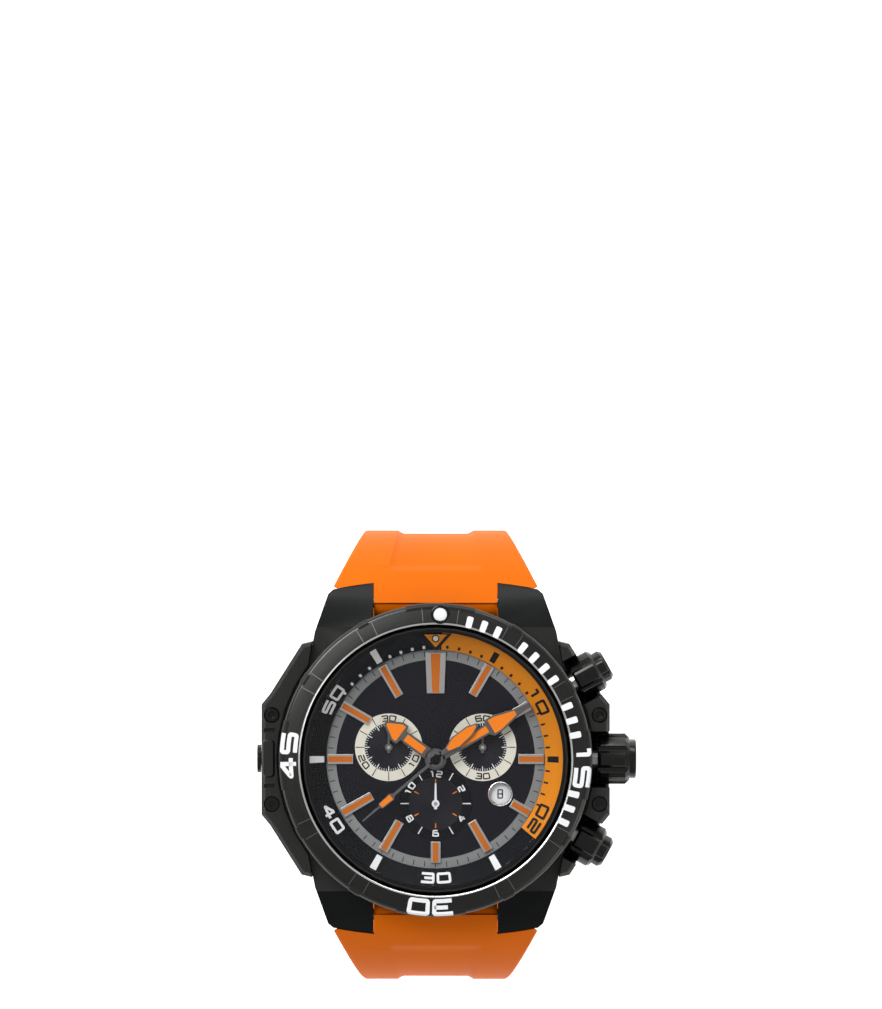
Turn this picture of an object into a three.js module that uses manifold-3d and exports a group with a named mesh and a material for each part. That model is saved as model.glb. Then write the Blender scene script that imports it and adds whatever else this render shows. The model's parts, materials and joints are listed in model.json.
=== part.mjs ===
// Chronograph dive watch on a two-piece moulded rubber strap, as an assembly of separate pieces.
// Millimetres. +Z points out of the dial, +Y to 12 o'clock, +X to 3 o'clock.
// The origin is the centre of the case back's outer face.
import * as THREE from "three";
import { mergeVertices } from "three/addons/utils/BufferGeometryUtils.js";
import Module from "manifold-3d";

const wasm = await Module();
wasm.setup();

// ---------------------------------------------------------------- driving dimensions
const GAP = 0.3; // clearance where pieces meet face to face
const RUN = 0.12; // radial running clearance of small turning pieces
const FINE = 40; // facets of the large round pieces
const ROUND = 24; // facets of plain discs and rings

const BEZEL_R = 25; // outside of the turning bezel
const BEZEL_TILT = -1.8; // degrees, where the bezel has been left
const BEZEL_BOTTOM = 9.5;
const RING_WIDTH = 3.45; // flat width of the bezel ring, seen from the front
const GRIP_COUNT = 12;
const GRIP_PROUD = 0.12;
const RIM_CHAMFER = 0.45;
const GRIP_LONG = 13; // half angles of the grip pads, degrees
const GRIP_SHORT = 2.2;
const PIP_R = 1.55;

const BARREL_INSET = 1.1; // middle case inside the bezel's rim
const NECK_WALL = 0.55; // thin wall that carries the crystal and guides the bezel
const NECK_DROP = 1.1; // neck below the crystal's face
const SEAL_WALL = 0.4;
const DIAL_MARGIN = 0.8; // dial beyond the flange ring's opening
const FLANGE_WIDTH = 3.05; // slope of the flange ring, seen from the front
const DIAL_THICK = 0.4;
const FLANGE_RISE = 2.9;
const CRYSTAL_THICK = 2.5;

const BACK_INSET = 3.9; // case back inside the barrel
const BACK_FLANGE = 1.4;
const BACK_THREAD = 2.8; // flange outside the threaded plug
const BACK_PLUG_RISE = 1.5;
const NOTCH_COUNT = 6;

const MOVEMENT_R = 14.3;
const MOVEMENT_BOTTOM = 3.3;
const MOVEMENT_TOP = 6.8;
const PLATE_BOTTOM = 5.9;
const BRIDGE_TOP = 4.1;
const PILLAR_ANGLES = [38, 62, 215]; // degrees from +X
const PILLAR_R = 0.9;
const BATTERY_R = 4.7;
const BATTERY_ANGLE = 105;
const COIL_START = 1; // inner end of the stepping motor's coil
const COIL_LENGTH = 7.4;
const COIL_R = 0.75;
const MOTION_CENTRES = 4; // hand axis to minute wheel axis
const PINION_R = 1; // pitch radii of the motion work
const MINUTE_WHEEL_R = 3;
const MINUTE_PINION_R = 0.8;
const HOUR_WHEEL_R = 3.2;
const DATE_RING_WIDTH = 4.3;

const HOUR_TUBE_R = 1.35;
const CANNON_R = 0.9;
const SWEEP_ARBOR_R = 0.42;
const SUB_ARBOR_R = 0.3;
const HAND_FIT = 0.06; // hand bore over its arbor

const LUG_INNER = 10; // half of the gap between a pair of lugs
const LUG_WIDTH = 6.9;
const LUG_BEYOND = 2.7; // lug tips beyond the bezel
const LUG_TIP = 0.4; // slant of a tip, from its inner corner
const LUG_TIP_TOP = 5.6; // height of a tip's upper edge
const BAR_R = 0.9;
const BAR_Z = 4.6;
const BAR_SET_IN = 2.7; // lug bar inside the lug tips

const GUARD_FIT = 0.1; // side guards beside the lugs
const GUARD_BEYOND = 2.8; // flat flank of the side guards, beyond the bezel
const GUARD_FLANK = 8.8; // half length of that flank
const GUARD_END = 18.4;
const GUARD_TOP = 10.9;
const GUARD_BOTTOM = 0.4;
const SCREW_HEAD_R = 1.1;
const SCREW_BEYOND = 1.15;
const SCREW_Y = 7.1;
const VALVE_R = 2.25;

const CROWN_Z = 6.1; // height of the crown's and the pushers' axes
const CROWN_R = 4.1;
const CROWN_LENGTH = 5.1;
const CROWN_CAP_R = 3.15;
const CROWN_CAP_LENGTH = 1.1;
const CROWN_FLUTES = 8;
const CROWN_BEYOND = 0.9; // inner end of the crown, beyond the bezel
const CROWN_BORE_R = 2.1;
const STEM_R = 0.6;
const TUBE_R = 1.75;
const PUSHER_ANGLE = 29; // degrees above and below the crown
const PUSHER_R = 2.6;
const PUSHER_CAP = 3.5;
const PUSHER_STEM_R = 0.8;
const PUSHER_TRAVEL = 1;
const COLLAR_BEYOND = 0.6;
const COLLAR_LENGTH = 4.2;
const COLLAR_WALL = 0.73;
const PUSHER_SHOWN = 1.6; // button beyond its collar
const SPRING_R = 1.38;
const SPRING_WIRE = 0.2;

const HOUR_ANGLE = 306; // degrees clockwise from 12
const MINUTE_ANGLE = 59.7;
const SWEEP_ANGLE = 229.8;
const SUBDIAL_SIDE_Y = 1.88;
const SUBHAND_LENGTH = 3.3;
const DATE_ANGLE = -28.44;
const DATE_WINDOW_R = 1.7;

const STRAP_WIDE = 33; // strap at the lug tips
const STRAP_NARROW = 21.6; // strap beyond its shoulders
const REACH_EXTRA = 2; // added width at the widest reach
const NARROWS_OVER = 12;
const STRAP_THICK = 3.2;
const STRAP_ROOT_THICK = 5.2;
const STRAP_BEYOND = 11.5; // furthest the curled strap comes out, beyond the bezel
const STRAP_SETTLES = 18; // run after which the strap has its even thickness
const BAND_ROOT = -1.4; // hidden start of the strap, beside the lug bar
const BAND_START = 1.4;
const EYE_R = 2.6;
const TIP_LENGTH = 9;
const CHANNEL_WIDE = 16.4;
const CHANNEL_NARROW = 12.2;
const CHANNEL_DEEP = 0.5;
const SHOULDER_DROP = 17.6; // from the lug bar down to the widest reach
const TAIL_DROP = 15; // straight stretch of the tail half
const TAIL_CURL_R = 28.5;
const TAIL_FLAT = 25;
const TAIL_HOLES = 7;
const HOLE_PITCH = 6.3;
const HOLE_R = 1.2;
const BUCKLE_CURL_R = 22;
const BUCKLE_CURL = 75; // degrees
const BUCKLE_FLAT = 16.5;
const KEEPER_LENGTH = 4.6;
const KEEPER_WALL = 1.3;
const KEEPER_FIXED_AT = 5.4; // middle of the fixed keeper, before the buckle bar
const KEEPER_SLIDING_AT = 10.6;
const BUCKLE_LENGTH = 11.5;
const BUCKLE_ARM = 2.4;
const BUCKLE_THICK = 2.4;
const PIN_R = 0.75;

// ---------------------------------------------------------------- derived sizes
function polar(r, degrees) {
  const angle = (degrees * Math.PI) / 180;
  return [r * Math.cos(angle), r * Math.sin(angle)];
}

const BARREL_R = BEZEL_R - BARREL_INSET;
const BEZEL_IN = BEZEL_R - RING_WIDTH;
const NECK_OUT = BEZEL_IN - 0.25;
const NECK_IN = NECK_OUT - NECK_WALL;
const SEAL_R = NECK_IN - 0.05; // outside of the crystal's seal
const CRYSTAL_R = SEAL_R - SEAL_WALL;
const DIAL_OPENING_R = NECK_IN - 0.2 - FLANGE_WIDTH;
const DIAL_R = DIAL_OPENING_R + DIAL_MARGIN;
const BACK_R = BARREL_R - BACK_INSET;
const BACK_PLUG_R = BACK_R - BACK_THREAD;
const MOVEMENT_BORE = BACK_PLUG_R + GAP;
const DATE_RING_OUT = MOVEMENT_R - 0.4;
const DATE_RING_IN = DATE_RING_OUT - DATE_RING_WIDTH;
const DATE_AT = polar(DATE_RING_IN + DATE_RING_WIDTH / 2, DATE_ANGLE);
const SUBDIALS = {
  seconds: [2.1 - DATE_RING_IN, SUBDIAL_SIDE_Y],
  minutes: [DATE_RING_IN - 2.1, SUBDIAL_SIDE_Y],
  hours: [0, 2.48 - DATE_RING_IN],
};
const BATTERY_AT = polar(MOVEMENT_R - 0.5 - BATTERY_R, BATTERY_ANGLE);
const COIL_Y = 4.6 - MOVEMENT_R;
const BACK_TOP = BACK_FLANGE + BACK_PLUG_RISE;
const CASE_BOTTOM = BACK_FLANGE + GAP;
const CASE_TOP = BEZEL_BOTTOM - GAP;
const DIAL_BOTTOM = MOVEMENT_TOP + 1.2;
const DIAL_TOP = DIAL_BOTTOM + DIAL_THICK;
const FLANGE_BOTTOM = DIAL_TOP + 0.15;
const FLANGE_TOP = FLANGE_BOTTOM + FLANGE_RISE;
const CRYSTAL_BOTTOM = FLANGE_TOP + 0.2;
const CRYSTAL_TOP = CRYSTAL_BOTTOM + CRYSTAL_THICK;
const NECK_TOP = CRYSTAL_TOP - NECK_DROP;
const BEZEL_TOP = CRYSTAL_TOP - 0.05;
const PIP_AT = BEZEL_IN + RING_WIDTH / 2 - 0.08;
const LUG_OUTER = LUG_INNER + LUG_WIDTH;
const LUG_REACH = BEZEL_R + LUG_BEYOND; // lug tips, measured from the dial centre
const BAR_OUT = LUG_REACH - BAR_SET_IN;
const TONGUE_WIDTH = 2 * (LUG_INNER - 0.15); // strap between the lugs
const SWING_R = Math.hypot(LUG_REACH + LUG_TIP - BAR_OUT, LUG_TIP_TOP - BAR_Z) + 0.12;
const GUARD_R = BEZEL_R + GUARD_BEYOND;
const SCREW_X = BEZEL_R + SCREW_BEYOND;
const CROWN_OUT = BEZEL_R + CROWN_BEYOND;
const COLLAR_IN = BEZEL_R + COLLAR_BEYOND;
const COLLAR_R = PUSHER_R + RUN + COLLAR_WALL;
const COLLAR_END = COLLAR_IN + COLLAR_LENGTH;
const PUSHER_OUT = COLLAR_END + PUSHER_SHOWN;
const TUBE_START = MOVEMENT_BORE + 0.4;
const TUBE_END = PUSHER_OUT - PUSHER_CAP - 0.4;
const PUSHER_STEM_END = MOVEMENT_R + PUSHER_TRAVEL + GAP;
const STEM_START = MOVEMENT_R - 6.3;
const HOUR_Z = DIAL_TOP + 0.95;
const MINUTE_Z = HOUR_Z + 0.6;
const SWEEP_Z = MINUTE_Z + 0.55;
const STRAP_REACH = BEZEL_R + STRAP_BEYOND;
const BUCKLE_WIDTH = STRAP_NARROW + 2 * GAP + 2 * BUCKLE_ARM;
const SHOULDER_R = (() => {
  // arc that leaves the lug bar and turns straight down at the strap's furthest reach
  const out = STRAP_REACH - STRAP_THICK / 2 - BAR_OUT;
  return SHOULDER_DROP / Math.sin(2 * Math.atan(out / SHOULDER_DROP));
})();
const SHOULDER_TURN = Math.asin(SHOULDER_DROP / SHOULDER_R);

// ---------------------------------------------------------------- materials
const FINISHES = {
  black_steel: [0x2b2b2d, 0.38, 0.85],
  steel: [0xc4c6c8, 0.3, 1],
  bright_steel: [0xd8dadc, 0.15, 1],
  glass: [0xe8f0f2, 0.02, 0],
  orange_rubber: [0xf07a06, 0.6, 0],
  black_rubber: [0x151515, 0.8, 0],
  dial_black: [0x1c1b24, 0.5, 0.1],
  flange_black: [0x1a1c22, 0.45, 0.2],
  hand_grey: [0x8f9193, 0.35, 0.7],
  hand_white: [0xe6e6e2, 0.5, 0],
  brass: [0xb08d4a, 0.35, 1],
  copper: [0xa85a2a, 0.45, 0.8],
  white_plastic: [0xdcdcd6, 0.6, 0],
  paper_white: [0xf2f2ee, 0.7, 0],
};
const MATERIALS = Object.fromEntries(
  Object.entries(FINISHES).map(([name, [color, roughness, metalness]]) => [
    name,
    new THREE.MeshStandardMaterial({ name, color, roughness, metalness }),
  ])
);

// ---------------------------------------------------------------- solids
const RAD = Math.PI / 180;

// A closed three.js geometry as a manifold-3d solid.
function solid(geometry) {
  const bare = geometry.clone();
  bare.deleteAttribute("normal");
  bare.deleteAttribute("uv");
  const merged = mergeVertices(bare, 1e-4);
  return new wasm.Manifold(
    new wasm.Mesh({
      numProp: 3,
      vertProperties: merged.attributes.position.array,
      triVerts: new Uint32Array(merged.index.array),
    })
  );
}

function toGeometry(shape) {
  const mesh = shape.getMesh();
  const geometry = new THREE.BufferGeometry();
  geometry.setAttribute("position", new THREE.BufferAttribute(mesh.vertProperties, 3));
  geometry.setIndex(new THREE.BufferAttribute(mesh.triVerts, 1));
  return geometry.toNonIndexed();
}

function place(geometry, { x = 0, y = 0, z = 0, rx = 0, ry = 0, rz = 0 }) {
  geometry.applyMatrix4(
    new THREE.Matrix4()
      .makeTranslation(x, y, z)
      .multiply(new THREE.Matrix4().makeRotationFromEuler(new THREE.Euler(rx, ry, rz, "ZYX")))
  );
  return geometry;
}

// Turned piece about Z from a closed list of [radius, height] points.
function turned(points, segments = ROUND) {
  const profile = points.map(([r, z]) => new THREE.Vector2(r, z));
  if (points[0][0] > 0) {
    profile.push(profile[0].clone());
  }
  const geometry = new THREE.LatheGeometry(profile, segments);
  geometry.rotateX(Math.PI / 2);
  return solid(geometry);
}

function disc(r, z0, z1, segments = ROUND, at = [0, 0]) {
  return turned([[0, z0], [r, z0], [r, z1], [0, z1]], segments).translate([at[0], at[1], 0]);
}

function ring(rIn, rOut, z0, z1, segments = ROUND, at = [0, 0]) {
  return turned([[rIn, z0], [rOut, z0], [rOut, z1], [rIn, z1]], segments)
    .translate([at[0], at[1], 0]);
}

function box(x0, x1, y0, y1, z0, z1) {
  const geometry = new THREE.BoxGeometry(x1 - x0, y1 - y0, z1 - z0);
  return solid(place(geometry, { x: (x0 + x1) / 2, y: (y0 + y1) / 2, z: (z0 + z1) / 2 }));
}

// Prism of an outline in XY, from z0 to z1.
function prism(outline, z0, z1, chamfer = 0) {
  const shape = outline instanceof THREE.Shape
    ? outline
    : new THREE.Shape(outline.map(([x, y]) => new THREE.Vector2(x, y)));
  const geometry = new THREE.ExtrudeGeometry(shape, {
    depth: z1 - z0 - 2 * chamfer,
    curveSegments: 3,
    bevelEnabled: chamfer > 0,
    bevelSize: chamfer,
    bevelThickness: chamfer,
    bevelOffset: -chamfer,
    bevelSegments: 1,
  });
  geometry.translate(0, 0, z0 + chamfer);
  return solid(geometry);
}

// Prism of an outline in (Y, Z), from x0 to x1.
function sidePrism(outline, x0, x1) {
  return turnSolid(prism(outline, x0, x1), [90, 0, 90]);
}

function turnSolid(shape, degrees) {
  return shape.rotate(degrees);
}

function joinAll(shapes) {
  return shapes.reduce((sum, next) => sum.add(next));
}

// A bar of round section along +X from x0 to x1 at height z.
function barX(r, x0, x1, z, segments = 24) {
  return disc(r, x0, x1, segments).rotate([0, 90, 0]).translate([0, 0, z]);
}

// Turned piece about the +X axis at the crown's height.
function turnedX(points, segments = 32) {
  return turned(points, segments).rotate([0, 90, 0]).translate([0, 0, CROWN_Z]);
}

const watch = new THREE.Group();
watch.name = "dive_watch";

function addPiece(name, shape, finish, parent = watch) {
  const mesh = new THREE.Mesh(toGeometry(shape), MATERIALS[finish]);
  mesh.name = name;
  parent.add(mesh);
  return mesh;
}

// ---------------------------------------------------------------- case
const LUG_ROOT = 14; // where the lugs leave the barrel, measured from the dial centre

// Plan outline of the upper right lug, widened by a clearance.
function lugPlan(grow = 0) {
  return [
    [LUG_INNER, LUG_ROOT - grow],
    [LUG_OUTER + 3.6 + grow, LUG_ROOT - grow],
    [LUG_OUTER + 2.4 + grow, LUG_REACH - 7.3],
    [LUG_OUTER + 0.3 + grow, LUG_REACH - 1.3],
    [LUG_OUTER - 0.5 + grow, LUG_REACH - 0.6],
    [LUG_INNER, LUG_REACH + LUG_TIP],
  ];
}

function fourFold(shape) {
  const pair = shape.add(shape.mirror([1, 0, 0]));
  return pair.add(pair.mirror([0, 1, 0]));
}

// The four lugs: the plan cut by the lugs' sloping side view.
function lugs() {
  const view = [
    [LUG_ROOT - 2, CASE_BOTTOM + 0.8],
    [LUG_REACH - 7, CASE_BOTTOM + 0.4],
    [LUG_REACH - 2, 1.2],
    [LUG_REACH + LUG_TIP, 1.9],
    [LUG_REACH + LUG_TIP, LUG_TIP_TOP],
    [LUG_REACH - 2.4, 7.6],
    [LUG_REACH - 6.6, CASE_TOP - 0.2],
    [LUG_ROOT - 2, CASE_TOP - 0.2],
  ];
  return fourFold(prism(lugPlan(), -1, 12).intersect(sidePrism(view, 0, LUG_OUTER + 10)));
}

function midCase() {
  let body = turned([
    [MOVEMENT_BORE, CASE_BOTTOM],
    [BARREL_R - 1.6, CASE_BOTTOM],
    [BARREL_R, CASE_BOTTOM + 1.6],
    [BARREL_R, CASE_TOP],
    [NECK_OUT, CASE_TOP],
    [NECK_OUT, NECK_TOP - 0.2],
    [NECK_OUT - 0.2, NECK_TOP],
    [NECK_IN, NECK_TOP],
    [NECK_IN, DIAL_TOP],
    [DIAL_R + 0.2, DIAL_TOP],
    [DIAL_R + 0.2, DIAL_BOTTOM - 0.1],
    [MOVEMENT_BORE, DIAL_BOTTOM - 0.1],
  ], FINE);
  body = body.add(lugs());
  body = body.subtract(turned([
    [0, -5], [MOVEMENT_BORE, -5], [MOVEMENT_BORE, DIAL_BOTTOM - 0.1],
    [DIAL_R + 0.2, DIAL_BOTTOM - 0.1], [DIAL_R + 0.2, DIAL_TOP],
    [NECK_IN, DIAL_TOP], [NECK_IN, 20], [0, 20],
  ], FINE));
  body = body.subtract(ring(NECK_OUT + 0.8, NECK_OUT + 2.2, CASE_TOP - 0.5, 20));
  body = body.subtract(ring(BACK_PLUG_R + 0.8, BACK_PLUG_R + 2.1, 0, CASE_BOTTOM + 0.9, ROUND));
  for (const side of [1, -1]) {
    const hole = barX(BAR_R + RUN, -LUG_INNER - 1.6, LUG_INNER + 1.6, BAR_Z, 16);
    body = body.subtract(hole.translate([0, side * BAR_OUT, 0]));
    const space = box(-LUG_INNER, LUG_INNER, BARREL_R - 3.4, LUG_REACH + 2, -1, CASE_TOP - 0.6);
    const barrel = disc(BARREL_R - 1.9, -2, 12, FINE);
    const cut = space.subtract(barrel);
    body = body.subtract(side > 0 ? cut : cut.rotate([0, 0, 180]));
  }
  const tubeHole = turnedX([
    [0, MOVEMENT_R], [TUBE_R + RUN, MOVEMENT_R], [TUBE_R + RUN, BEZEL_R + 1], [0, BEZEL_R + 1],
  ], 24);
  body = body.subtract(tubeHole);
  for (const angle of [PUSHER_ANGLE, -PUSHER_ANGLE]) {
    body = body.subtract(tubeHole.rotate([0, 0, angle]));
  }
  return body;
}

// ---------------------------------------------------------------- side guards
function guardOutline() {
  const upper = [
    [GUARD_R - 8.9, GUARD_END - 2],
    [GUARD_R - 8.1, GUARD_END + 0.4],
    [GUARD_R - 6.4, GUARD_END],
    [GUARD_R - 3.4, GUARD_FLANK + 4.9],
    [GUARD_R - 1.4, GUARD_FLANK + 1.7],
    [GUARD_R, GUARD_FLANK],
  ];
  const lower = upper.map(([x, y]) => [x, -y]).reverse();
  return [...upper, ...lower];
}

function guardPlate() {
  let plate = prism(guardOutline(), GUARD_BOTTOM, GUARD_TOP, 0.6);
  plate = plate.subtract(disc(BARREL_R + GAP, -1, BEZEL_BOTTOM, FINE));
  plate = plate.subtract(disc(BEZEL_R + GRIP_PROUD + GAP, BEZEL_BOTTOM - GAP, 20, FINE));
  plate = plate.subtract(fourFold(prism(lugPlan(GUARD_FIT), -1, 20)));
  for (const y of [SCREW_Y, -SCREW_Y]) {
    plate = plate.subtract(disc(SCREW_HEAD_R + 0.2, GUARD_TOP - 1.4, 20, 16, [SCREW_X, y]));
    plate = plate.subtract(disc(0.65, GUARD_TOP - 4.7, 20, 10, [SCREW_X, y]));
  }
  return plate;
}

function leftGuard() {
  let plate = guardPlate().mirror([1, 0, 0]);
  plate = plate.subtract(barX(1.25, -GUARD_R - 1, -GUARD_R + 2.4, CROWN_Z, 20));
  for (const y of [4.7, -4.2]) {
    plate = plate.subtract(box(-GUARD_R + 0.4, -GUARD_R + 2.1, y - 0.3, y + 0.3, GUARD_TOP - 0.7, 20));
  }
  const outline = roundedBox(-GUARD_R + 0.1, -BEZEL_R - 0.7, -2.8, 3.2, 0.6);
  const block = prism(outline, 9, GUARD_TOP + 0.4, 0.25);
  return plate.add(block);
}

function crownGuard() {
  let plate = guardPlate();
  const crownRoom = CROWN_R + 0.4;
  plate = plate.subtract(
    turnedX([[0, BARREL_R - 2], [crownRoom, BARREL_R - 2], [crownRoom, 60], [0, 60]], 32)
  );
  plate = plate.subtract(box(BARREL_R - 2, 60, -CROWN_R - 0.4, CROWN_R + 0.4, CROWN_Z, 20));
  for (const side of [1, -1]) {
    const room = COLLAR_R + 0.4;
    const seat = turnedX([[0, BARREL_R - 2], [room, BARREL_R - 2], [room, 60], [0, 60]], 32)
      .add(box(BARREL_R - 2, 60, -room, room, CROWN_Z, 20));
    plate = plate.subtract(seat.rotate([0, 0, side * PUSHER_ANGLE]));
  }
  return plate;
}

function guardScrew() {
  const head = disc(SCREW_HEAD_R, GUARD_TOP - 1.3, GUARD_TOP - 0.3, 14);
  const shank = disc(0.5, GUARD_TOP - 4.4, GUARD_TOP - 1.2, 8);
  const socket = disc(0.55, GUARD_TOP - 0.9, GUARD_TOP, 6);
  return head.add(shank).subtract(socket);
}

// ---------------------------------------------------------------- case back and seals
function caseBack() {
  let back = turned([
    [0, 0], [BACK_R - 0.9, 0], [BACK_R, 0.5], [BACK_R, BACK_FLANGE],
    [BACK_PLUG_R, BACK_FLANGE], [BACK_PLUG_R, BACK_TOP], [BACK_PLUG_R - 1.6, BACK_TOP],
    [BACK_PLUG_R - 1.6, BACK_TOP - 0.6], [0, BACK_TOP - 0.6],
  ], FINE);
  for (let k = 0; k < NOTCH_COUNT; k += 1) {
    const notch = box(BACK_R - 2.2, BACK_R + 1, -1.3, 1.3, -1, 0.7);
    back = back.subtract(notch.rotate([0, 0, (360 / NOTCH_COUNT) * k]));
  }
  return back;
}

// ---------------------------------------------------------------- bezel
function bezelRing() {
  const base = BEZEL_R - GRIP_PROUD;
  let body = turned([
    [BEZEL_IN, BEZEL_BOTTOM + 0.6],
    [BARREL_R - 0.6, BEZEL_BOTTOM + 0.6],
    [BARREL_R - 0.4, BEZEL_BOTTOM],
    [base - 0.4, BEZEL_BOTTOM],
    [base, BEZEL_BOTTOM + 0.4],
    [base, BEZEL_TOP - 0.9],
    [base - RIM_CHAMFER, BEZEL_TOP - 0.45],
    [BEZEL_IN + 0.3, BEZEL_TOP],
    [BEZEL_IN, BEZEL_TOP - 0.3],
  ], FINE);
  const rim = turned([
    [base - 1.2, BEZEL_BOTTOM + 0.3],
    [BEZEL_R - 0.3, BEZEL_BOTTOM + 0.3],
    [BEZEL_R, BEZEL_BOTTOM + 0.6],
    [BEZEL_R, BEZEL_TOP - 0.85],
    [BEZEL_R - RIM_CHAMFER, BEZEL_TOP - 0.36],
    [base - 1.2, BEZEL_TOP - 0.36],
  ], FINE);
  // grip pads stand out of the rim: long ones at the quarters, narrow ones between
  for (let k = 0; k < GRIP_COUNT; k += 1) {
    const spread = Math.tan((k % 3 === 0 ? GRIP_LONG : GRIP_SHORT) * RAD) * (BEZEL_R + 5);
    const sector = prism([[0, 0], [BEZEL_R + 5, -spread], [BEZEL_R + 5, spread]], 0, 20);
    body = body.add(rim.intersect(sector.rotate([0, 0, (360 / GRIP_COUNT) * k])));
  }
  const seat = disc(PIP_R + RUN, BEZEL_TOP - 1.1, 20, 24, [0, PIP_AT]);
  return body.subtract(seat);
}

// ---------------------------------------------------------------- dial side
function dialPlate() {
  let plate = disc(DIAL_R, DIAL_BOTTOM, DIAL_TOP, ROUND);
  plate = plate.subtract(disc(HOUR_TUBE_R + RUN, 0, 20, 24));
  plate = plate.subtract(disc(DATE_WINDOW_R, 0, 20, 20, DATE_AT));
  for (const at of Object.values(SUBDIALS)) {
    plate = plate.subtract(disc(SUB_ARBOR_R + RUN, 0, 20, 12, at));
  }
  return plate;
}

function flangeRing() {
  return turned([
    [DIAL_OPENING_R, FLANGE_BOTTOM],
    [NECK_IN - 0.2, FLANGE_BOTTOM],
    [NECK_IN - 0.2, FLANGE_TOP],
    [NECK_IN - 0.45, FLANGE_TOP],
    [DIAL_OPENING_R, FLANGE_BOTTOM + 0.35],
  ], FINE);
}

function crystalDisc() {
  return turned([
    [0, CRYSTAL_BOTTOM], [CRYSTAL_R, CRYSTAL_BOTTOM], [CRYSTAL_R, CRYSTAL_TOP - 0.5],
    [CRYSTAL_R - 0.4, CRYSTAL_TOP], [0, CRYSTAL_TOP],
  ], FINE);
}

// Flat hand pointing along +Y, from half of its outline, with a round hub.
function handPlate(half, hub, bore, z0, z1) {
  const left = half.map(([x, y]) => [-x, y]).reverse();
  const blade = prism([...half, ...left], z0, z1);
  return blade.add(disc(hub, z0, z1, 16)).subtract(disc(bore, 0, 20, 16));
}

function hourHand() {
  return handPlate([
    [0.95, 0], [0.95, 5.6], [0.7, 6.3], [1.75, 6.6], [1.75, 7.6], [0.35, 10],
  ], 1.75, HOUR_TUBE_R + HAND_FIT, HOUR_Z, HOUR_Z + 0.25);
}

function minuteHand() {
  return handPlate([
    [0.75, 0], [0.85, 9.4], [1.5, 10.1], [1.45, 11.6], [0.55, 15.2], [0.3, 17.5],
  ], 1.55, CANNON_R + HAND_FIT, MINUTE_Z, MINUTE_Z + 0.25);
}

function sweepHand() {
  // slim pointer with a small lance, and a plain blade for its counterweight
  const pointer = [
    [0.2, -8.8], [0.85, -7.2], [1.05, -4.2], [0.35, -2.2], [0.22, -1],
    [0.22, 8.7], [0.62, 9.2], [0.5, 11.5], [0.16, 11.8], [0.12, 15.3],
  ];
  return handPlate(pointer, 1.25, SWEEP_ARBOR_R + HAND_FIT, SWEEP_Z, SWEEP_Z + 0.22);
}

function subHand() {
  return handPlate([[0.28, -0.9], [0.12, SUBHAND_LENGTH]], 0.55, SUB_ARBOR_R + HAND_FIT,
    DIAL_TOP + 0.35, DIAL_TOP + 0.53);
}

// ---------------------------------------------------------------- movement
function mainPlate() {
  let plate = disc(MOVEMENT_R - 0.1, PLATE_BOTTOM, MOVEMENT_TOP, ROUND);
  for (const angle of PILLAR_ANGLES) {
    const at = polar(MOVEMENT_R - 1.6, angle);
    plate = plate.add(disc(PILLAR_R, BRIDGE_TOP + 0.1, PLATE_BOTTOM + 0.2, 16, at));
  }
  plate = plate.add(disc(0.25, MOVEMENT_TOP - 0.2, DIAL_BOTTOM - 0.3, 10, [0, MOTION_CENTRES]));
  plate = plate.subtract(disc(SWEEP_ARBOR_R + RUN, 0, 20, 14));
  for (const at of Object.values(SUBDIALS)) {
    plate = plate.subtract(disc(SUB_ARBOR_R + RUN, 0, 20, 12, at));
  }
  return plate.subtract(barX(STEM_R + GAP, STEM_START - GAP, BARREL_R, CROWN_Z, 20));
}

function trainBridge() {
  let plate = disc(MOVEMENT_R - 0.4, MOVEMENT_BOTTOM, BRIDGE_TOP, ROUND);
  plate = plate.subtract(disc(BATTERY_R + GAP, 0, 20, 48, BATTERY_AT));
  const coilRoom = [COIL_START - 0.6, COIL_START + COIL_LENGTH + 0.6, COIL_Y - 2, COIL_Y + 2];
  return plate.subtract(box(...coilRoom, 0, 20));
}

function batteryClamp() {
  const [x, y] = BATTERY_AT;
  const strip = box(x - 1, x + 6, y - 1, y + 1, MOVEMENT_BOTTOM - 0.45, MOVEMENT_BOTTOM - 0.15);
  return strip.add(disc(1.5, MOVEMENT_BOTTOM - 0.45, MOVEMENT_BOTTOM - 0.15, 20, [x + 6.4, y]));
}

function movementHolder() {
  let holder = ring(MOVEMENT_R + 0.15, MOVEMENT_BORE - 0.2, MOVEMENT_BOTTOM, DIAL_BOTTOM - 0.15, ROUND);
  for (const angle of [0, PUSHER_ANGLE, -PUSHER_ANGLE]) {
    const stemWay = barX(PUSHER_STEM_R + GAP, MOVEMENT_R - 4, BARREL_R, CROWN_Z, 16);
    holder = holder.subtract(stemWay.rotate([0, 0, angle]));
  }
  return holder;
}

// ---------------------------------------------------------------- crown and pushers
// These are turned about local +Z, which their groups lay along the crown's axis.
function fluted(body, r, z0, z1, count, cutR) {
  let shape = body;
  for (let k = 0; k < count; k += 1) {
    const flute = disc(cutR, z0, z1, 8, [r + cutR * 0.45, 0]);
    shape = shape.subtract(flute.rotate([0, 0, (360 / count) * (k + 0.5)]));
  }
  return shape;
}

function crownHead() {
  const end = CROWN_OUT + CROWN_LENGTH;
  const knob = turned([
    [0, CROWN_OUT], [CROWN_R - 0.4, CROWN_OUT], [CROWN_R, CROWN_OUT + 0.5], [CROWN_R, end - 0.7],
    [CROWN_R - 0.6, end], [CROWN_CAP_R, end], [CROWN_CAP_R, end + CROWN_CAP_LENGTH - 0.2],
    [CROWN_CAP_R - 0.25, end + CROWN_CAP_LENGTH], [0, end + CROWN_CAP_LENGTH],
  ], 24);
  const bore = disc(CROWN_BORE_R, 0, CROWN_OUT + CROWN_LENGTH - 1.8, 18);
  return fluted(knob, CROWN_R, CROWN_OUT - 1, end - 0.3, CROWN_FLUTES, 0.85).subtract(bore);
}

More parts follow.
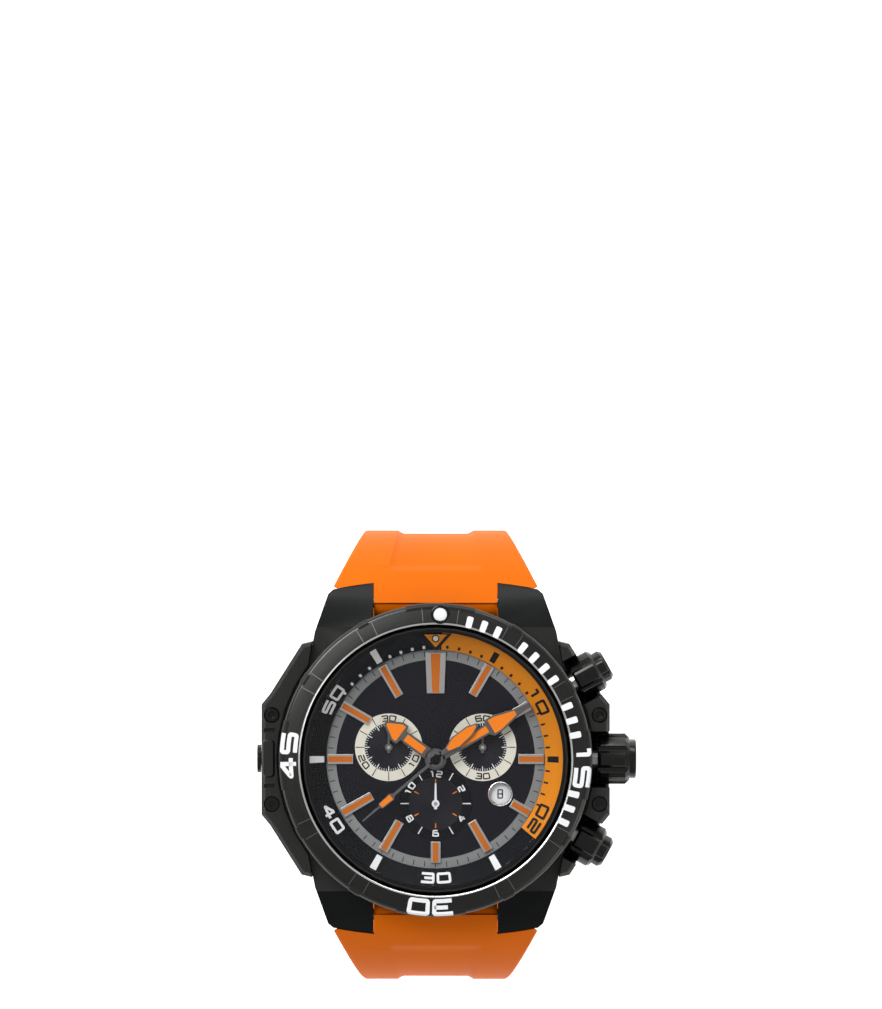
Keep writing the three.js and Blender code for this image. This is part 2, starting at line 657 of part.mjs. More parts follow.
function pusherHead() {
  const inner = PUSHER_OUT - PUSHER_CAP;
  const cap = turned([
    [0, inner], [PUSHER_R, inner], [PUSHER_R, PUSHER_OUT - 0.5], [PUSHER_R - 0.5, PUSHER_OUT],
    [0, PUSHER_OUT],
  ], 24);
  const hollow = disc(PUSHER_R - 0.6, 0, PUSHER_OUT - 1.2, 16);
  const stem = disc(PUSHER_STEM_R, PUSHER_STEM_END, PUSHER_OUT - 1, 12);
  return fluted(cap, PUSHER_R, PUSHER_OUT - 1.7, PUSHER_OUT + 1, 6, 0.55).subtract(hollow).add(stem);
}

function pusherCollar() {
  const end = COLLAR_END;
  const body = turned([
    [TUBE_R + RUN, COLLAR_IN], [COLLAR_R - 0.3, COLLAR_IN], [COLLAR_R, COLLAR_IN + 0.4],
    [COLLAR_R, end - 0.5], [COLLAR_R - 0.5, end], [PUSHER_R + RUN, end],
    [PUSHER_R + RUN, COLLAR_IN + 1.1], [TUBE_R + RUN, COLLAR_IN + 1.1],
  ], 24);
  return fluted(body, COLLAR_R, COLLAR_IN - 1, end + 1, 6, 0.6);
}

class Helix extends THREE.Curve {
  constructor(radius, z0, z1, turns) {
    super();
    Object.assign(this, { radius, z0, z1, turns });
  }

  getPoint(t, target = new THREE.Vector3()) {
    const angle = 2 * Math.PI * this.turns * t;
    return target.set(
      this.radius * Math.cos(angle),
      this.radius * Math.sin(angle),
      this.z0 + (this.z1 - this.z0) * t
    );
  }
}

function pusherSpring() {
  const wire = new THREE.Shape(
    Array.from({ length: 6 }, (_, k) => {
      const angle = (Math.PI / 3) * k;
      return new THREE.Vector2(SPRING_WIRE * Math.cos(angle), SPRING_WIRE * Math.sin(angle));
    })
  );
  const path = new Helix(SPRING_R, TUBE_END + 0.3, PUSHER_OUT - 1.5, 3);
  return solid(new THREE.ExtrudeGeometry(wire, { extrudePath: path, steps: 24, bevelEnabled: false }));
}

// ---------------------------------------------------------------- strap
// Centre line of a strap half in (distance from the dial centre, height). It starts at the
// lug bar and is a chain of arcs and straight stretches, always turning inwards.
class StrapLine {
  constructor(stretches) {
    this.stretches = stretches;
    this.length = stretches.reduce((sum, part) => sum + part.length, 0);
  }

  at(s) {
    let y = BAR_OUT;
    let z = BAR_Z;
    let heading = SHOULDER_TURN - Math.PI / 2;
    let left = s;
    for (const { length, radius } of this.stretches) {
      const run = Math.min(left, length);
      if (radius) {
        const next = heading - run / radius;
        y += radius * (Math.sin(heading) - Math.sin(next));
        z += radius * (Math.cos(next) - Math.cos(heading));
        heading = next;
      } else {
        y += run * Math.cos(heading);
        z += run * Math.sin(heading);
      }
      left -= run;
      if (left <= 0) {
        break;
      }
    }
    y += left > 0 ? left * Math.cos(heading) : 0;
    z += left > 0 ? left * Math.sin(heading) : 0;
    return { y, z, heading };
  }
}

const SHOULDER_ARC = { length: SHOULDER_R * SHOULDER_TURN, radius: SHOULDER_R };
const TAIL_LINE = new StrapLine([
  SHOULDER_ARC,
  { length: TAIL_DROP },
  { length: (TAIL_CURL_R * Math.PI) / 2, radius: TAIL_CURL_R },
  { length: TAIL_FLAT },
]);
const BUCKLE_LINE = new StrapLine([
  SHOULDER_ARC,
  { length: BUCKLE_CURL_R * BUCKLE_CURL * RAD, radius: BUCKLE_CURL_R },
  { length: BUCKLE_FLAT },
]);

function ramp(s, s0, s1, a, b) {
  return a + (b - a) * THREE.MathUtils.clamp((s - s0) / (s1 - s0), 0, 1);
}

// Closed skin through rings of points that all have the same count.
function skin(rings) {
  const count = rings[0].length;
  const positions = rings.flat().flatMap((p) => [p.x, p.y, p.z]);
  const index = [];
  for (let k = 0; k + 1 < rings.length; k += 1) {
    for (let i = 0; i < count; i += 1) {
      const a = k * count + i;
      const b = k * count + ((i + 1) % count);
      index.push(a, b + count, b, a, a + count, b + count);
    }
  }
  const flat = rings[0].map((p) => new THREE.Vector2(p.u, p.v));
  const faces = THREE.ShapeUtils.triangulateShape(flat, []);
  const last = (rings.length - 1) * count;
  for (const [a, b, c] of faces) {
    index.push(a, b, c, last + c, last + b, last + a);
  }
  const geometry = new THREE.BufferGeometry();
  geometry.setAttribute("position", new THREE.Float32BufferAttribute(positions, 3));
  geometry.setIndex(index);
  return solid(geometry);
}

// A width that narrows evenly, as seen from the front, down to the strap's widest reach.
function narrowing(s, wide, narrow) {
  const shoulder = SHOULDER_ARC.length;
  const here = THREE.MathUtils.clamp(s, BAND_START, shoulder);
  const [start, now, reach] = [BAND_START, here, shoulder].map(
    (station) => TAIL_LINE.at(station).y
  );
  return ramp(now, start, reach, wide, narrow);
}

// Moulded band along a strap line from s0 to s1: shouldered, tapering, with a sunk channel.
function band(line, s0, s1, widthAt, steps, channelEnd) {
  const rings = [];
  for (let k = 0; k <= steps; k += 1) {
    const s = s0 + ((s1 - s0) * k) / steps;
    const { y, z, heading } = line.at(s);
    const half = widthAt(s);
    const thick = ramp(s, BAND_START, STRAP_SETTLES, STRAP_ROOT_THICK, STRAP_THICK) / 2;
    const edge = 0.7;
    const channel = narrowing(s, CHANNEL_WIDE, CHANNEL_NARROW) / 2;
    const groove = Math.min(channel, half - edge - 0.3);
    const opening = ramp(s, BAND_START + 3, BAND_START + 4.4, 0, 1);
    const open = opening * ramp(s, channelEnd - 1.4, channelEnd, 1, 0);
    const deep = CHANNEL_DEEP * open;
    const section = [
      [-half, thick - edge], [-half, edge - thick], [edge - half, -thick], [half - edge, -thick],
      [half, edge - thick], [half, thick - edge], [half - edge, thick], [groove, thick],
      [groove - 0.4, thick - deep], [0.4 - groove, thick - deep], [-groove, thick],
      [edge - half, thick],
    ];
    rings.push(section.map(([x, n]) => {
      const point = new THREE.Vector3(
        x,
        y - n * Math.sin(heading),
        z + n * Math.cos(heading)
      );
      point.u = x;
      point.v = n;
      return point;
    }));
  }
  return skin(rings);
}

// Half width of the strap: straight sides down to the widest reach, then soon even.
function strapWidth(s) {
  const shoulder = SHOULDER_ARC.length;
  const beyond = ramp(s, shoulder, shoulder + NARROWS_OVER, 0, REACH_EXTRA);
  return (narrowing(s, STRAP_WIDE, STRAP_NARROW + REACH_EXTRA) - beyond) / 2;
}

// The narrow part between the lugs, rounded about the lug bar.
function strapTongue(line) {
  const half = TONGUE_WIDTH / 2;
  const eye = barX(EYE_R, -half, half, BAR_Z, 20).translate([0, BAR_OUT, 0]);
  const { y, z, heading } = line.at(BAND_START + 1);
  const across = STRAP_ROOT_THICK / 2 - 0.15;
  const root = [
    [BAR_OUT + EYE_R * Math.sin(heading), BAR_Z - EYE_R * Math.cos(heading)],
    [y + across * Math.sin(heading), z - across * Math.cos(heading)],
    [y - across * Math.sin(heading), z + across * Math.cos(heading)],
    [BAR_OUT - EYE_R * Math.sin(heading), BAR_Z + EYE_R * Math.cos(heading)],
  ];
  return eye.add(sidePrism(root, -half, half));
}

function strapHalf(line, end, steps, widthAt, channelEnd) {
  let strap = band(line, BAND_ROOT, end, widthAt, steps, channelEnd);
  const tongue = TONGUE_WIDTH / 2;
  const near = LUG_REACH + 0.6;
  const room = prism([
    [tongue, 0], [LUG_OUTER + 4, 0], [LUG_OUTER + 4, near - 1.6], [LUG_OUTER - 0.3, near - 1.05],
    [tongue, near],
  ], -4, 12);
  const swing = barX(SWING_R, tongue, LUG_OUTER + 4, BAR_Z, 32).translate([0, BAR_OUT, 0]);
  for (const shape of [room, swing]) {
    strap = strap.subtract(shape).subtract(shape.mirror([1, 0, 0]));
  }
  strap = strap.add(strapTongue(line));
  return strap.subtract(barX(BAR_R + RUN, -20, 20, BAR_Z, 16).translate([0, BAR_OUT, 0]));
}

// A solid made about a strap station's own axes: X across, Y along, Z outwards.
function stationed(shape, line, s) {
  const { y, z, heading } = line.at(s);
  return shape.rotate([heading / RAD, 0, 0]).translate([0, y, z]);
}

function tailHalf() {
  const end = TAIL_LINE.length;
  const tip = (s) => {
    const reach = THREE.MathUtils.clamp((s - end + TIP_LENGTH) / TIP_LENGTH, 0, 1);
    return strapWidth(s) * (1 - 0.5 * reach ** 3);
  };
  const holesFrom = end - 16 - (TAIL_HOLES - 1) * HOLE_PITCH;
  let strap = strapHalf(TAIL_LINE, end, 30, tip, holesFrom - 6);
  for (let k = 0; k < TAIL_HOLES; k += 1) {
    const hole = disc(HOLE_R, -4, 4, 8);
    strap = strap.subtract(stationed(hole, TAIL_LINE, holesFrom + k * HOLE_PITCH));
  }
  return strap;
}

function buckleHalf() {
  const pin = BUCKLE_LINE.length;
  const end = pin + 1.7;
  let strap = strapHalf(BUCKLE_LINE, end, 22, strapWidth, pin - KEEPER_SLIDING_AT - 6);
  const slot = box(-2, 2, -4.6, 4, -4, 4);
  strap = strap.subtract(stationed(slot, BUCKLE_LINE, pin));
  return strap.subtract(stationed(barX(PIN_R + RUN, -20, 20, 0, 12), BUCKLE_LINE, pin));
}

function keeperLoop() {
  const side = STRAP_NARROW / 2 + GAP;
  const low = -STRAP_THICK / 2 - GAP;
  const high = STRAP_THICK * 1.5 + 0.6;
  const half = KEEPER_LENGTH / 2;
  const across = side + KEEPER_WALL;
  const outline = roundedBox(-across, across, low - KEEPER_WALL, high + KEEPER_WALL, 1.2);
  outline.holes.push(roundedBox(-side, side, low, high, 0.4));
  return prism(outline, -half, half).rotate([90, 0, 0]);
}

function roundedBox(x0, x1, y0, y1, r) {
  const shape = new THREE.Shape();
  shape.moveTo(x0 + r, y0);
  shape.lineTo(x1 - r, y0);
  shape.absarc(x1 - r, y0 + r, r, -Math.PI / 2, 0);
  shape.lineTo(x1, y1 - r);
  shape.absarc(x1 - r, y1 - r, r, 0, Math.PI / 2);
  shape.lineTo(x0 + r, y1);
  shape.absarc(x0 + r, y1 - r, r, Math.PI / 2, Math.PI);
  shape.lineTo(x0, y0 + r);
  shape.absarc(x0 + r, y0 + r, r, Math.PI, 1.5 * Math.PI);
  return shape;
}

function buckleFrame() {
  const outer = BUCKLE_WIDTH / 2;
  const inner = STRAP_NARROW / 2 + GAP;
  const thick = BUCKLE_THICK / 2;
  const arms = prism(roundedBox(-outer, outer, -2, BUCKLE_LENGTH, 2), -thick, thick, 0.3);
  const window = prism(roundedBox(-inner, inner, -30, BUCKLE_LENGTH - BUCKLE_ARM, 0.6), -4, 4);
  return arms.subtract(window).subtract(barX(PIN_R + RUN, -20, 20, 0, 12));
}

function buckleProng() {
  const side = [
    [-0.9, 1.3], [0.9, 1.35], [BUCKLE_LENGTH - 3, 1.5], [BUCKLE_LENGTH - 0.6, 1.5],
    [BUCKLE_LENGTH - 0.6, 2.1], [BUCKLE_LENGTH - 1.6, 2.5], [0.6, 2.5], [-0.9, 1.9],
  ];
  const blade = sidePrism(side, -1.4, 1.4);
  const eye = barX(1.9, -1.4, 1.4, 0, 16);
  return blade.add(eye).subtract(barX(PIN_R + RUN, -4, 4, 0, 12));
}

// ---------------------------------------------------------------- assembly
function subgroup(parent, { x = 0, y = 0, z = 0, rx = 0, ry = 0, rz = 0 }) {
  const group = new THREE.Group();
  group.position.set(x, y, z);
  group.rotation.set(rx, ry, rz);
  parent.add(group);
  return group;
}

// case
addPiece("mid_case", midCase(), "black_steel");
addPiece("left_side_guard", leftGuard(), "black_steel");
addPiece("crown_guard", crownGuard(), "black_steel");
[[-1, 1], [-1, -1], [1, 1], [1, -1]].forEach(([sx, sy], k) => {
  const screw = addPiece(`guard_screw_${k + 1}`, guardScrew(), "black_steel");
  screw.position.set(sx * SCREW_X, sy * SCREW_Y, 0);
});
addPiece("case_back", caseBack(), "steel");
addPiece("case_back_gasket",
  ring(BACK_PLUG_R + 0.95, BACK_PLUG_R + 1.95, BACK_FLANGE + 0.05, CASE_BOTTOM + 0.8, ROUND),
  "black_rubber");
addPiece("crystal", crystalDisc(), "glass");
addPiece("crystal_gasket",
  ring(CRYSTAL_R + 0.06, SEAL_R - 0.02, CRYSTAL_BOTTOM, NECK_TOP - 0.1, FINE), "black_rubber");
addPiece("flange_ring", flangeRing(), "flange_black");
for (const [name, side] of [["lug_bar_12", 1], ["lug_bar_6", -1]]) {
  const bar = addPiece(name, barX(BAR_R, -LUG_INNER - 1.3, LUG_INNER + 1.3, 0, 16), "steel");
  bar.position.set(0, side * BAR_OUT, BAR_Z);
}

// bezel
const bezelGroup = subgroup(watch, { rz: BEZEL_TILT * RAD });
addPiece("bezel", bezelRing(), "black_steel", bezelGroup);
addPiece("bezel_pip", disc(PIP_R, BEZEL_TOP - 1, BEZEL_TOP + 0.05, 24, [0, PIP_AT]), "paper_white",
  bezelGroup);
addPiece("bezel_gasket",
  ring(NECK_OUT + 0.1, NECK_OUT + 0.65, CASE_TOP + 0.05, BEZEL_BOTTOM + 0.5, FINE), "black_rubber");
addPiece("bezel_click_spring",
  ring(NECK_OUT + 0.9, NECK_OUT + 2.1, CASE_TOP - 0.4, CASE_TOP + 0.1, ROUND), "steel");

// dial and hands
addPiece("dial", dialPlate(), "dial_black");
addPiece("date_window_frame",
  ring(DATE_WINDOW_R, DATE_WINDOW_R + 0.28, DIAL_TOP + 0.02, DIAL_TOP + 0.22, 20, DATE_AT),
  "bright_steel");
const hands = [
  ["hour_hand", hourHand, HOUR_ANGLE, "hand_grey"],
  ["minute_hand", minuteHand, MINUTE_ANGLE, "hand_grey"],
  ["sweep_seconds_hand", sweepHand, SWEEP_ANGLE, "hand_grey"],
];
for (const [name, make, angle, finish] of hands) {
  addPiece(name, make(), finish).rotation.z = -angle * RAD;
}
for (const [name, at] of Object.entries(SUBDIALS)) {
  const spot = subgroup(watch, { x: at[0], y: at[1] });
  addPiece(`${name}_subdial_hand`, subHand(), "hand_white", spot);
  addPiece(`${name}_subdial_arbor`, disc(SUB_ARBOR_R, BRIDGE_TOP + 0.2, DIAL_TOP + 0.6, 12), "steel",
    spot);
}

// motion work and movement
addPiece("hour_wheel",
  disc(HOUR_WHEEL_R - RUN, DIAL_BOTTOM - 0.5, DIAL_BOTTOM - 0.25, 24)
    .add(disc(HOUR_TUBE_R, DIAL_BOTTOM - 0.5, HOUR_Z + 0.3, 18))
    .subtract(disc(CANNON_R + RUN, 0, 20, 18)),
  "brass");
addPiece("cannon_pinion",
  disc(PINION_R - 0.05, MOVEMENT_TOP + 0.2, DIAL_BOTTOM - 0.7, 16)
    .add(disc(CANNON_R, MOVEMENT_TOP + 0.2, MINUTE_Z + 0.3, 16))
    .subtract(disc(SWEEP_ARBOR_R + RUN, 0, 20, 14)),
  "steel");
addPiece("sweep_arbor", disc(SWEEP_ARBOR_R, BRIDGE_TOP + 0.2, SWEEP_Z + 0.27, 16), "steel");
addPiece("minute_wheel",
  disc(MINUTE_WHEEL_R - RUN, MOVEMENT_TOP + 0.2, MOVEMENT_TOP + 0.45, 24)
    .add(disc(MINUTE_PINION_R - RUN, MOVEMENT_TOP + 0.2, DIAL_BOTTOM - 0.2, 16))
    .subtract(disc(0.25 + RUN, 0, 20, 12)),
  "brass").position.y = MOTION_CENTRES;
addPiece("date_ring", ring(DATE_RING_IN, DATE_RING_OUT, DIAL_BOTTOM - 0.5, DIAL_BOTTOM - 0.2, ROUND),
  "paper_white");
addPiece("movement_main_plate", mainPlate(), "brass");
addPiece("train_bridge", trainBridge(), "steel");
addPiece("movement_holder", movementHolder(), "white_plastic");
addPiece("battery", disc(BATTERY_R, MOVEMENT_BOTTOM, PLATE_BOTTOM - 0.2, 40, BATTERY_AT), "steel");
addPiece("battery_clamp", batteryClamp(), "steel");
addPiece("motor_coil",
  barX(COIL_R, COIL_START, COIL_START + COIL_LENGTH, (BRIDGE_TOP + PLATE_BOTTOM) / 2, 20),
  "copper").position.y = COIL_Y;

// crown and pushers
const crownAxis = subgroup(watch, { z: CROWN_Z, ry: Math.PI / 2 });
addPiece("crown_tube", ring(STEM_R + 0.3, TUBE_R, TUBE_START, CROWN_OUT + 2.2, 18), "steel", crownAxis);
addPiece("crown", crownHead(), "black_steel", crownAxis);
addPiece("crown_gasket",
  ring(TUBE_R + 0.06, CROWN_BORE_R - 0.04, CROWN_OUT + 0.6, CROWN_OUT + 1.3, 18), "black_rubber",
  crownAxis);
const stemEnd = CROWN_OUT + CROWN_LENGTH - 1.9;
addPiece("winding_stem", disc(STEM_R, STEM_START, stemEnd, 16), "steel", crownAxis);
for (const [name, side] of [["top", 1], ["bottom", -1]]) {
  const spoke = subgroup(watch, { rz: side * PUSHER_ANGLE * RAD });
  const axis = subgroup(spoke, { z: CROWN_Z, ry: Math.PI / 2 });
  addPiece(`pusher_tube_${name}`, ring(PUSHER_STEM_R + RUN, TUBE_R, TUBE_START, TUBE_END, 18), "steel",
    axis);
  addPiece(`pusher_collar_${name}`, pusherCollar(), "black_steel", axis);
  addPiece(`pusher_${name}`, pusherHead(), "black_steel", axis);
  addPiece(`pusher_spring_${name}`, pusherSpring(), "steel", axis);
}
addPiece("relief_valve_cap",
  fluted(disc(VALVE_R, GUARD_R + 0.15, GUARD_R + 0.75, 24), VALVE_R, 0, 60, 12, 0.25)
    .add(disc(1.1, GUARD_R - 1.8, GUARD_R + 0.3, 20)),
  "black_steel",
  subgroup(watch, { z: CROWN_Z, ry: -Math.PI / 2 }));

// strap
const strap12 = subgroup(watch, {});
const strap6 = subgroup(watch, { rz: Math.PI });
addPiece("strap_buckle_half", buckleHalf(), "orange_rubber", strap12);
addPiece("strap_tail_half", tailHalf(), "orange_rubber", strap6);
function stationGroup(line, s) {
  const { y, z, heading } = line.at(s);
  return subgroup(strap12, { y, z, rx: heading });
}
const pinAt = BUCKLE_LINE.length;
const keeperPlace = stationGroup(BUCKLE_LINE, pinAt - KEEPER_FIXED_AT);
addPiece("keeper_fixed", keeperLoop(), "orange_rubber", keeperPlace);
addPiece("keeper_sliding", keeperLoop(), "orange_rubber",
  stationGroup(BUCKLE_LINE, pinAt - KEEPER_SLIDING_AT));
const buckleAxis = stationGroup(BUCKLE_LINE, pinAt);
addPiece("buckle_frame", buckleFrame(), "black_steel", buckleAxis);
addPiece("buckle_prong", buckleProng(), "black_steel", buckleAxis);
addPiece("buckle_bar", barX(PIN_R, -BUCKLE_WIDTH / 2 + 0.2, BUCKLE_WIDTH / 2 - 0.2, 0, 12), "steel",
  buckleAxis);

export default watch;
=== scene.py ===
"""Looks of a chronograph dive watch on a moulded rubber strap.

Every size is in millimetres in the watch's own frame and becomes metres in the mesh.
+Z points out of the dial, +Y to 12 o'clock, +X to 3 o'clock.
"""

import json
import math
from collections import namedtuple

import bmesh
import bpy
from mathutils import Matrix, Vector

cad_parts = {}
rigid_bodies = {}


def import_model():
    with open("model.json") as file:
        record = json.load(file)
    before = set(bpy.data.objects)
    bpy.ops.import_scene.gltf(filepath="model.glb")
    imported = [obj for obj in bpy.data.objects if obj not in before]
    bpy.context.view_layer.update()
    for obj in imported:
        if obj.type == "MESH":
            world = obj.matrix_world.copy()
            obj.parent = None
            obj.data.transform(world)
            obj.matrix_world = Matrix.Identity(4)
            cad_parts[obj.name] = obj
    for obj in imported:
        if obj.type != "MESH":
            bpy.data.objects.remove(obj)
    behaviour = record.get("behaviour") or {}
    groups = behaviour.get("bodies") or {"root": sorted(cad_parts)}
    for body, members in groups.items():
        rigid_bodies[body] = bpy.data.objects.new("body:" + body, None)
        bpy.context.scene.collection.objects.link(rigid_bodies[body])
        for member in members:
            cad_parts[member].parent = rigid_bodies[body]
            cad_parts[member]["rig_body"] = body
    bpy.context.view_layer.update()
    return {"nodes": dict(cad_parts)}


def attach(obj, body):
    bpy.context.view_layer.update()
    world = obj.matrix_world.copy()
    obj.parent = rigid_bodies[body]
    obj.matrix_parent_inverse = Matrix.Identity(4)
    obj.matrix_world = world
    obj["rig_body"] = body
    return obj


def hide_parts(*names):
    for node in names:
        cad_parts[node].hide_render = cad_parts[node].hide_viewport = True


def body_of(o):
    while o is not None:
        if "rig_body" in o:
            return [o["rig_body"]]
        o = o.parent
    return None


bl_info = {
    "name": "Dive watch looks",
    "version": (1, 0, 0),
    "blender": (4, 5, 0),
    "location": "View3D > Sidebar > Watch",
    "description": "Finishes, printing, hands and strap of a chronograph dive watch",
    "category": "Object",
}

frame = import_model()

MM = 0.001

# case
LUGS_FROM = 21.5  # distance from the middle, along y
FACES_UP = 0.9  # upward share of a face's normal
FACES_ASLANT = 0.25
LUG_TOP_ASLANT = 0.2
# dark ledges in the gaps between the guards and the lugs, as painted shade: outline (x, y), then
# heights
GUARD_GAP_SHADE_OUTLINE = [(20.15, 14.0), (19.1, 18.1), (19.9, 18.1), (21.0, 14.0)]
GUARD_GAP_SHADE_LEVELS = (2.6, 4.4)

# bezel
BEZEL_LEFT_AT = 1.8  # degrees clockwise
BEZEL_RING = [
    (21.55, 10.1), (23.3, 10.1), (23.5, 9.55), (24.45, 9.55), (24.86, 9.95),
    (24.86, 13.18), (24.42, 13.64), (21.95, 14.06), (21.57, 13.97),
]
BEZEL_LIP = (21.93, 13.9)  # bright inner lip: out to this radius, above this height
BEZEL_FLANK = (24.3, 13.1, 13.66)  # polished chamfer: from this radius, between these heights
BEZEL_TOP = [(21.95, 14.07), (24.2, 13.72), (24.55, 13.72), (24.98, 13.26), (25.2, 13.0)]
BEZEL_ROUND = 0.16
GRIP_PAD = [
    (23.3, 9.85), (24.65, 9.85), (24.98, 10.15), (24.98, 13.24), (24.55, 13.72), (23.3, 13.7),
]
GRIP_ROUND = 0.14
GRIP_LONG = 13  # half angles, degrees
GRIP_SHORT = 2.2
BEZEL_NUMBER_R = 23.47
BEZEL_MARK_R = 22.6
BEZEL_MARK = (1.0, 1.85, 0.3)  # across, along, corners
BEZEL_MINUTES = (2, 3, 4, 6, 7, 8, 9, 11, 12, 13, 17, 18, 19)
PAD_LINE_R = 23.1
PAD_LINE = (0.1, 2.2, 0.03)
PAD_LINE_HALF = 3.2  # degrees from the middle of a bezel pad to its side lines
PIP_BLOCK = (-7.0, 7.0)  # side lines of the block that holds the pip
PIP_AT = 23.195
PIP_R = 1.5
PIP_DOME_R = 1.07
PIP_RIM = [
    (1.08, 13.2), (PIP_R, 13.2), (PIP_R, 14.08), (PIP_R - 0.1, 14.14), (1.14, 14.14), (1.08, 14.05),
]
PIP_DOME = [
    (0.0, 13.3), (PIP_DOME_R, 13.3), (PIP_DOME_R, 13.98), (0.8, 14.07), (0.45, 14.11), (0.0, 14.12),
]

# dial and flange ring
FLANGE_IN = 17.5
FLANGE_OUT = 20.3
FLANGE_LOW = 8.9
FLANGE_HIGH = 11.45
FLANGE_BACK_R = 20.5
FLANGE_BOTTOM = 8.6
FLANGE_STEPS = 720
ORANGE_SECTOR = (3.0, 128.4)  # degrees clockwise
FLANGE_NUMBER_R = 18.95
# minute: ink, and whether its top points outwards
FLANGE_NUMBERS = {
    10: ("black", True), 20: ("black", False), 30: ("white", False),
    40: ("white", False), 50: ("white", True),
}
# ink, radius, (across, along, corners), minutes
FLANGE_MARKS = (
    ("white", 18.95, (1.05, 2.3, 0.1), (25, 35, 45, 55)),
    ("white", 17.95, (0.42, 0.5, 0.1), (51, 52, 53, 54, 56, 57, 58, 59)),
    ("black", 18.0, (0.4, 0.5, 0.1), (1, 2, 3, 4, 6, 7, 8, 9)),
    ("black", 18.75, (0.95, 1.75, 0.08), (5, 15)),
    ("black", 18.0, (0.28, 0.72, 0.05), (11, 12, 13, 14, 16, 17, 18, 19)),
)
TRIANGLE_R = 19.0
TRIANGLE_GROUND = [(-0.35, -1.45), (0.35, -1.45), (2.45, 1.25), (-2.35, 1.25)]
TRIANGLE = [(-0.1, -1.05), (0.1, -1.05), (1.75, 1.05), (-1.75, 1.05)]
TRIANGLE_DOT_R = 19.3
PRINT_ROOT = -0.15  # how far bezel printing reaches down, to meet the slope
FLANGE_PRINT_ROOT = -0.08
DIAL_TOP = 8.4
TRACK_IN = 15.9
TRACK_OUT = 17.48
SUBDIALS = {"seconds": (-7.5, 1.88), "minutes": (7.5, 1.88), "hours": (0.0, -7.12)}
SIDE_DIAL_R = 5.4
SIDE_DIAL_CENTRE_R = 3.85
LOW_DIAL_R = 5.85
LOW_DIAL_CENTRE_R = 4.3
ARBOR_HOLE_R = 0.5
PRINT_LOW = 0.005  # above the dial
FILM = 0.015
# angle, inner radius, outer radius, inner width and outer width of each applied mark
HOUR_MARKS = (
    (0, 10.5, 17.0, 2.8, 3.3), (30, 11.8, 17.3, 1.5, 1.6), (90, 13.2, 17.3, 1.6, 1.6),
    (120, 14.0, 17.4, 1.5, 1.6), (150, 11.5, 16.9, 1.5, 1.6), (180, 13.2, 16.6, 1.6, 1.6),
    (210, 11.5, 16.9, 1.5, 1.6), (240, 11.7, 17.2, 1.5, 1.6), (270, 13.2, 17.3, 1.6, 1.6),
    (300, 12.1, 17.3, 1.5, 1.6), (330, 11.6, 17.1, 1.5, 1.6), (60, 12.1, 17.3, 1.5, 1.6),
)
MARK_FRAME = (0.01, 0.42)  # heights above the dial
MARK_INLAY = (0.3, 0.45)
MARK_BORDER = 0.36
TWELVE_BORDER = 0.86
MARK_END_BORDER = 0.12
MINUTE_TICK_R = 16.85
MINUTE_TICK = (0.13, 0.85)
SIDE_NUMBERS = {
    "seconds": ((0, "30"), (120, "10"), (240, "20")),
    "minutes": ((0, "60"), (180, "30")),
}
SIDE_NUMBER_R = 4.64
LOW_NUMBERS = ((0, "12"), (60, "2"), (120, "4"), (180, "6"), (240, "8"), (300, "10"))
LOW_NUMBER_R = 4.75
LOW_BEAD = 0.08
DATE_AT = (10.332, -5.596)
DATE_RIM = [(1.69, 8.42), (1.98, 8.42), (1.98, 8.6), (1.86, 8.66), (1.69, 8.5)]
DATE_RING_R = 11.75
DATE_RING_TOP = 7.8
DATE_SHOWN = 8
DAYS = 31
CRYSTAL_R = 20.3
CRYSTAL_LOW = 11.65
CRYSTAL_HIGH = 14.15

# lettering: height and width of a figure, weight of its strokes, gap between figures
Lettering = namedtuple("Lettering", "height wide weight gap")
BEZEL_LETTERS = Lettering(2.75, 3.55, 0.66, 0.4)
FLANGE_LETTERS = Lettering(1.7, 2.3, 0.4, 0.34)
SIDE_LETTERS = Lettering(1.02, 1.12, 0.2, 0.14)
LOW_LETTERS = Lettering(1.08, 1.0, 0.22, 0.14)
DATE_LETTERS = Lettering(1.5, 0.9, 0.19, 0.16)
CORNER_SHARE = 0.14  # rounding of a figure's corners, as a share of its smaller side
STROKE_STEP = 0.3  # longest stretch of a stroke, so that it follows a slope

# hands: right half of each outline, (across, along)
HOUR_AT = 306.0  # degrees clockwise from 12
MINUTE_AT = 59.7
SWEEP_AT = 229.8
HOUR_OUTLINE = [(0.95, 0.9), (0.95, 5.6), (0.72, 6.3), (1.75, 6.6), (1.75, 7.6), (0.35, 10.0)]
HOUR_INLAYS = ([(0.6, 2.3), (0.6, 5.9)], [(1.42, 6.85), (1.42, 7.5), (0.2, 9.6)])
HOUR_BOSS = (1.45, 1.73)
HOUR_LEVELS = (9.37, 9.58, 9.5, 9.61)  # body, then inlays
MINUTE_OUTLINE = [(0.75, 0.7), (0.85, 9.4), (1.5, 10.1), (1.45, 11.6), (0.55, 15.2), (0.3, 17.5)]
MINUTE_INLAYS = ([(0.45, 4.4), (0.55, 9.6)], [(1.2, 10.3), (1.17, 11.5), (0.36, 14.8)])
MINUTE_BOSS = (1.0, 1.53)
MINUTE_LEVELS = (9.97, 10.18, 10.1, 10.21)
SWEEP_OUTLINE = [
    (0.2, -8.8), (0.85, -7.2), (1.05, -4.2), (0.35, -2.2), (0.22, -1.0),
    (0.22, 8.7), (0.62, 9.2), (0.5, 11.5), (0.16, 11.8), (0.12, 15.3),
]
SWEEP_INLAYS = (
    [(0.14, -8.4), (0.66, -7.1), (0.85, -4.3), (0.28, -2.5)], [(0.46, 9.25), (0.38, 11.45)],
)
SWEEP_BOSS = (0.5, 1.23)
SWEEP_LEVELS = (10.52, 10.7, 10.6, 10.73)
SWEEP_CAP = [(0.0, 10.6), (0.85, 10.6), (0.85, 10.8), (0.7, 10.86), (0.3, 10.88), (0.0, 10.88)]
SMALL_OUTLINE = [(0.26, -0.9), (0.2, 0.3), (0.13, 3.28)]
SMALL_LEVELS = (8.76, 8.92)
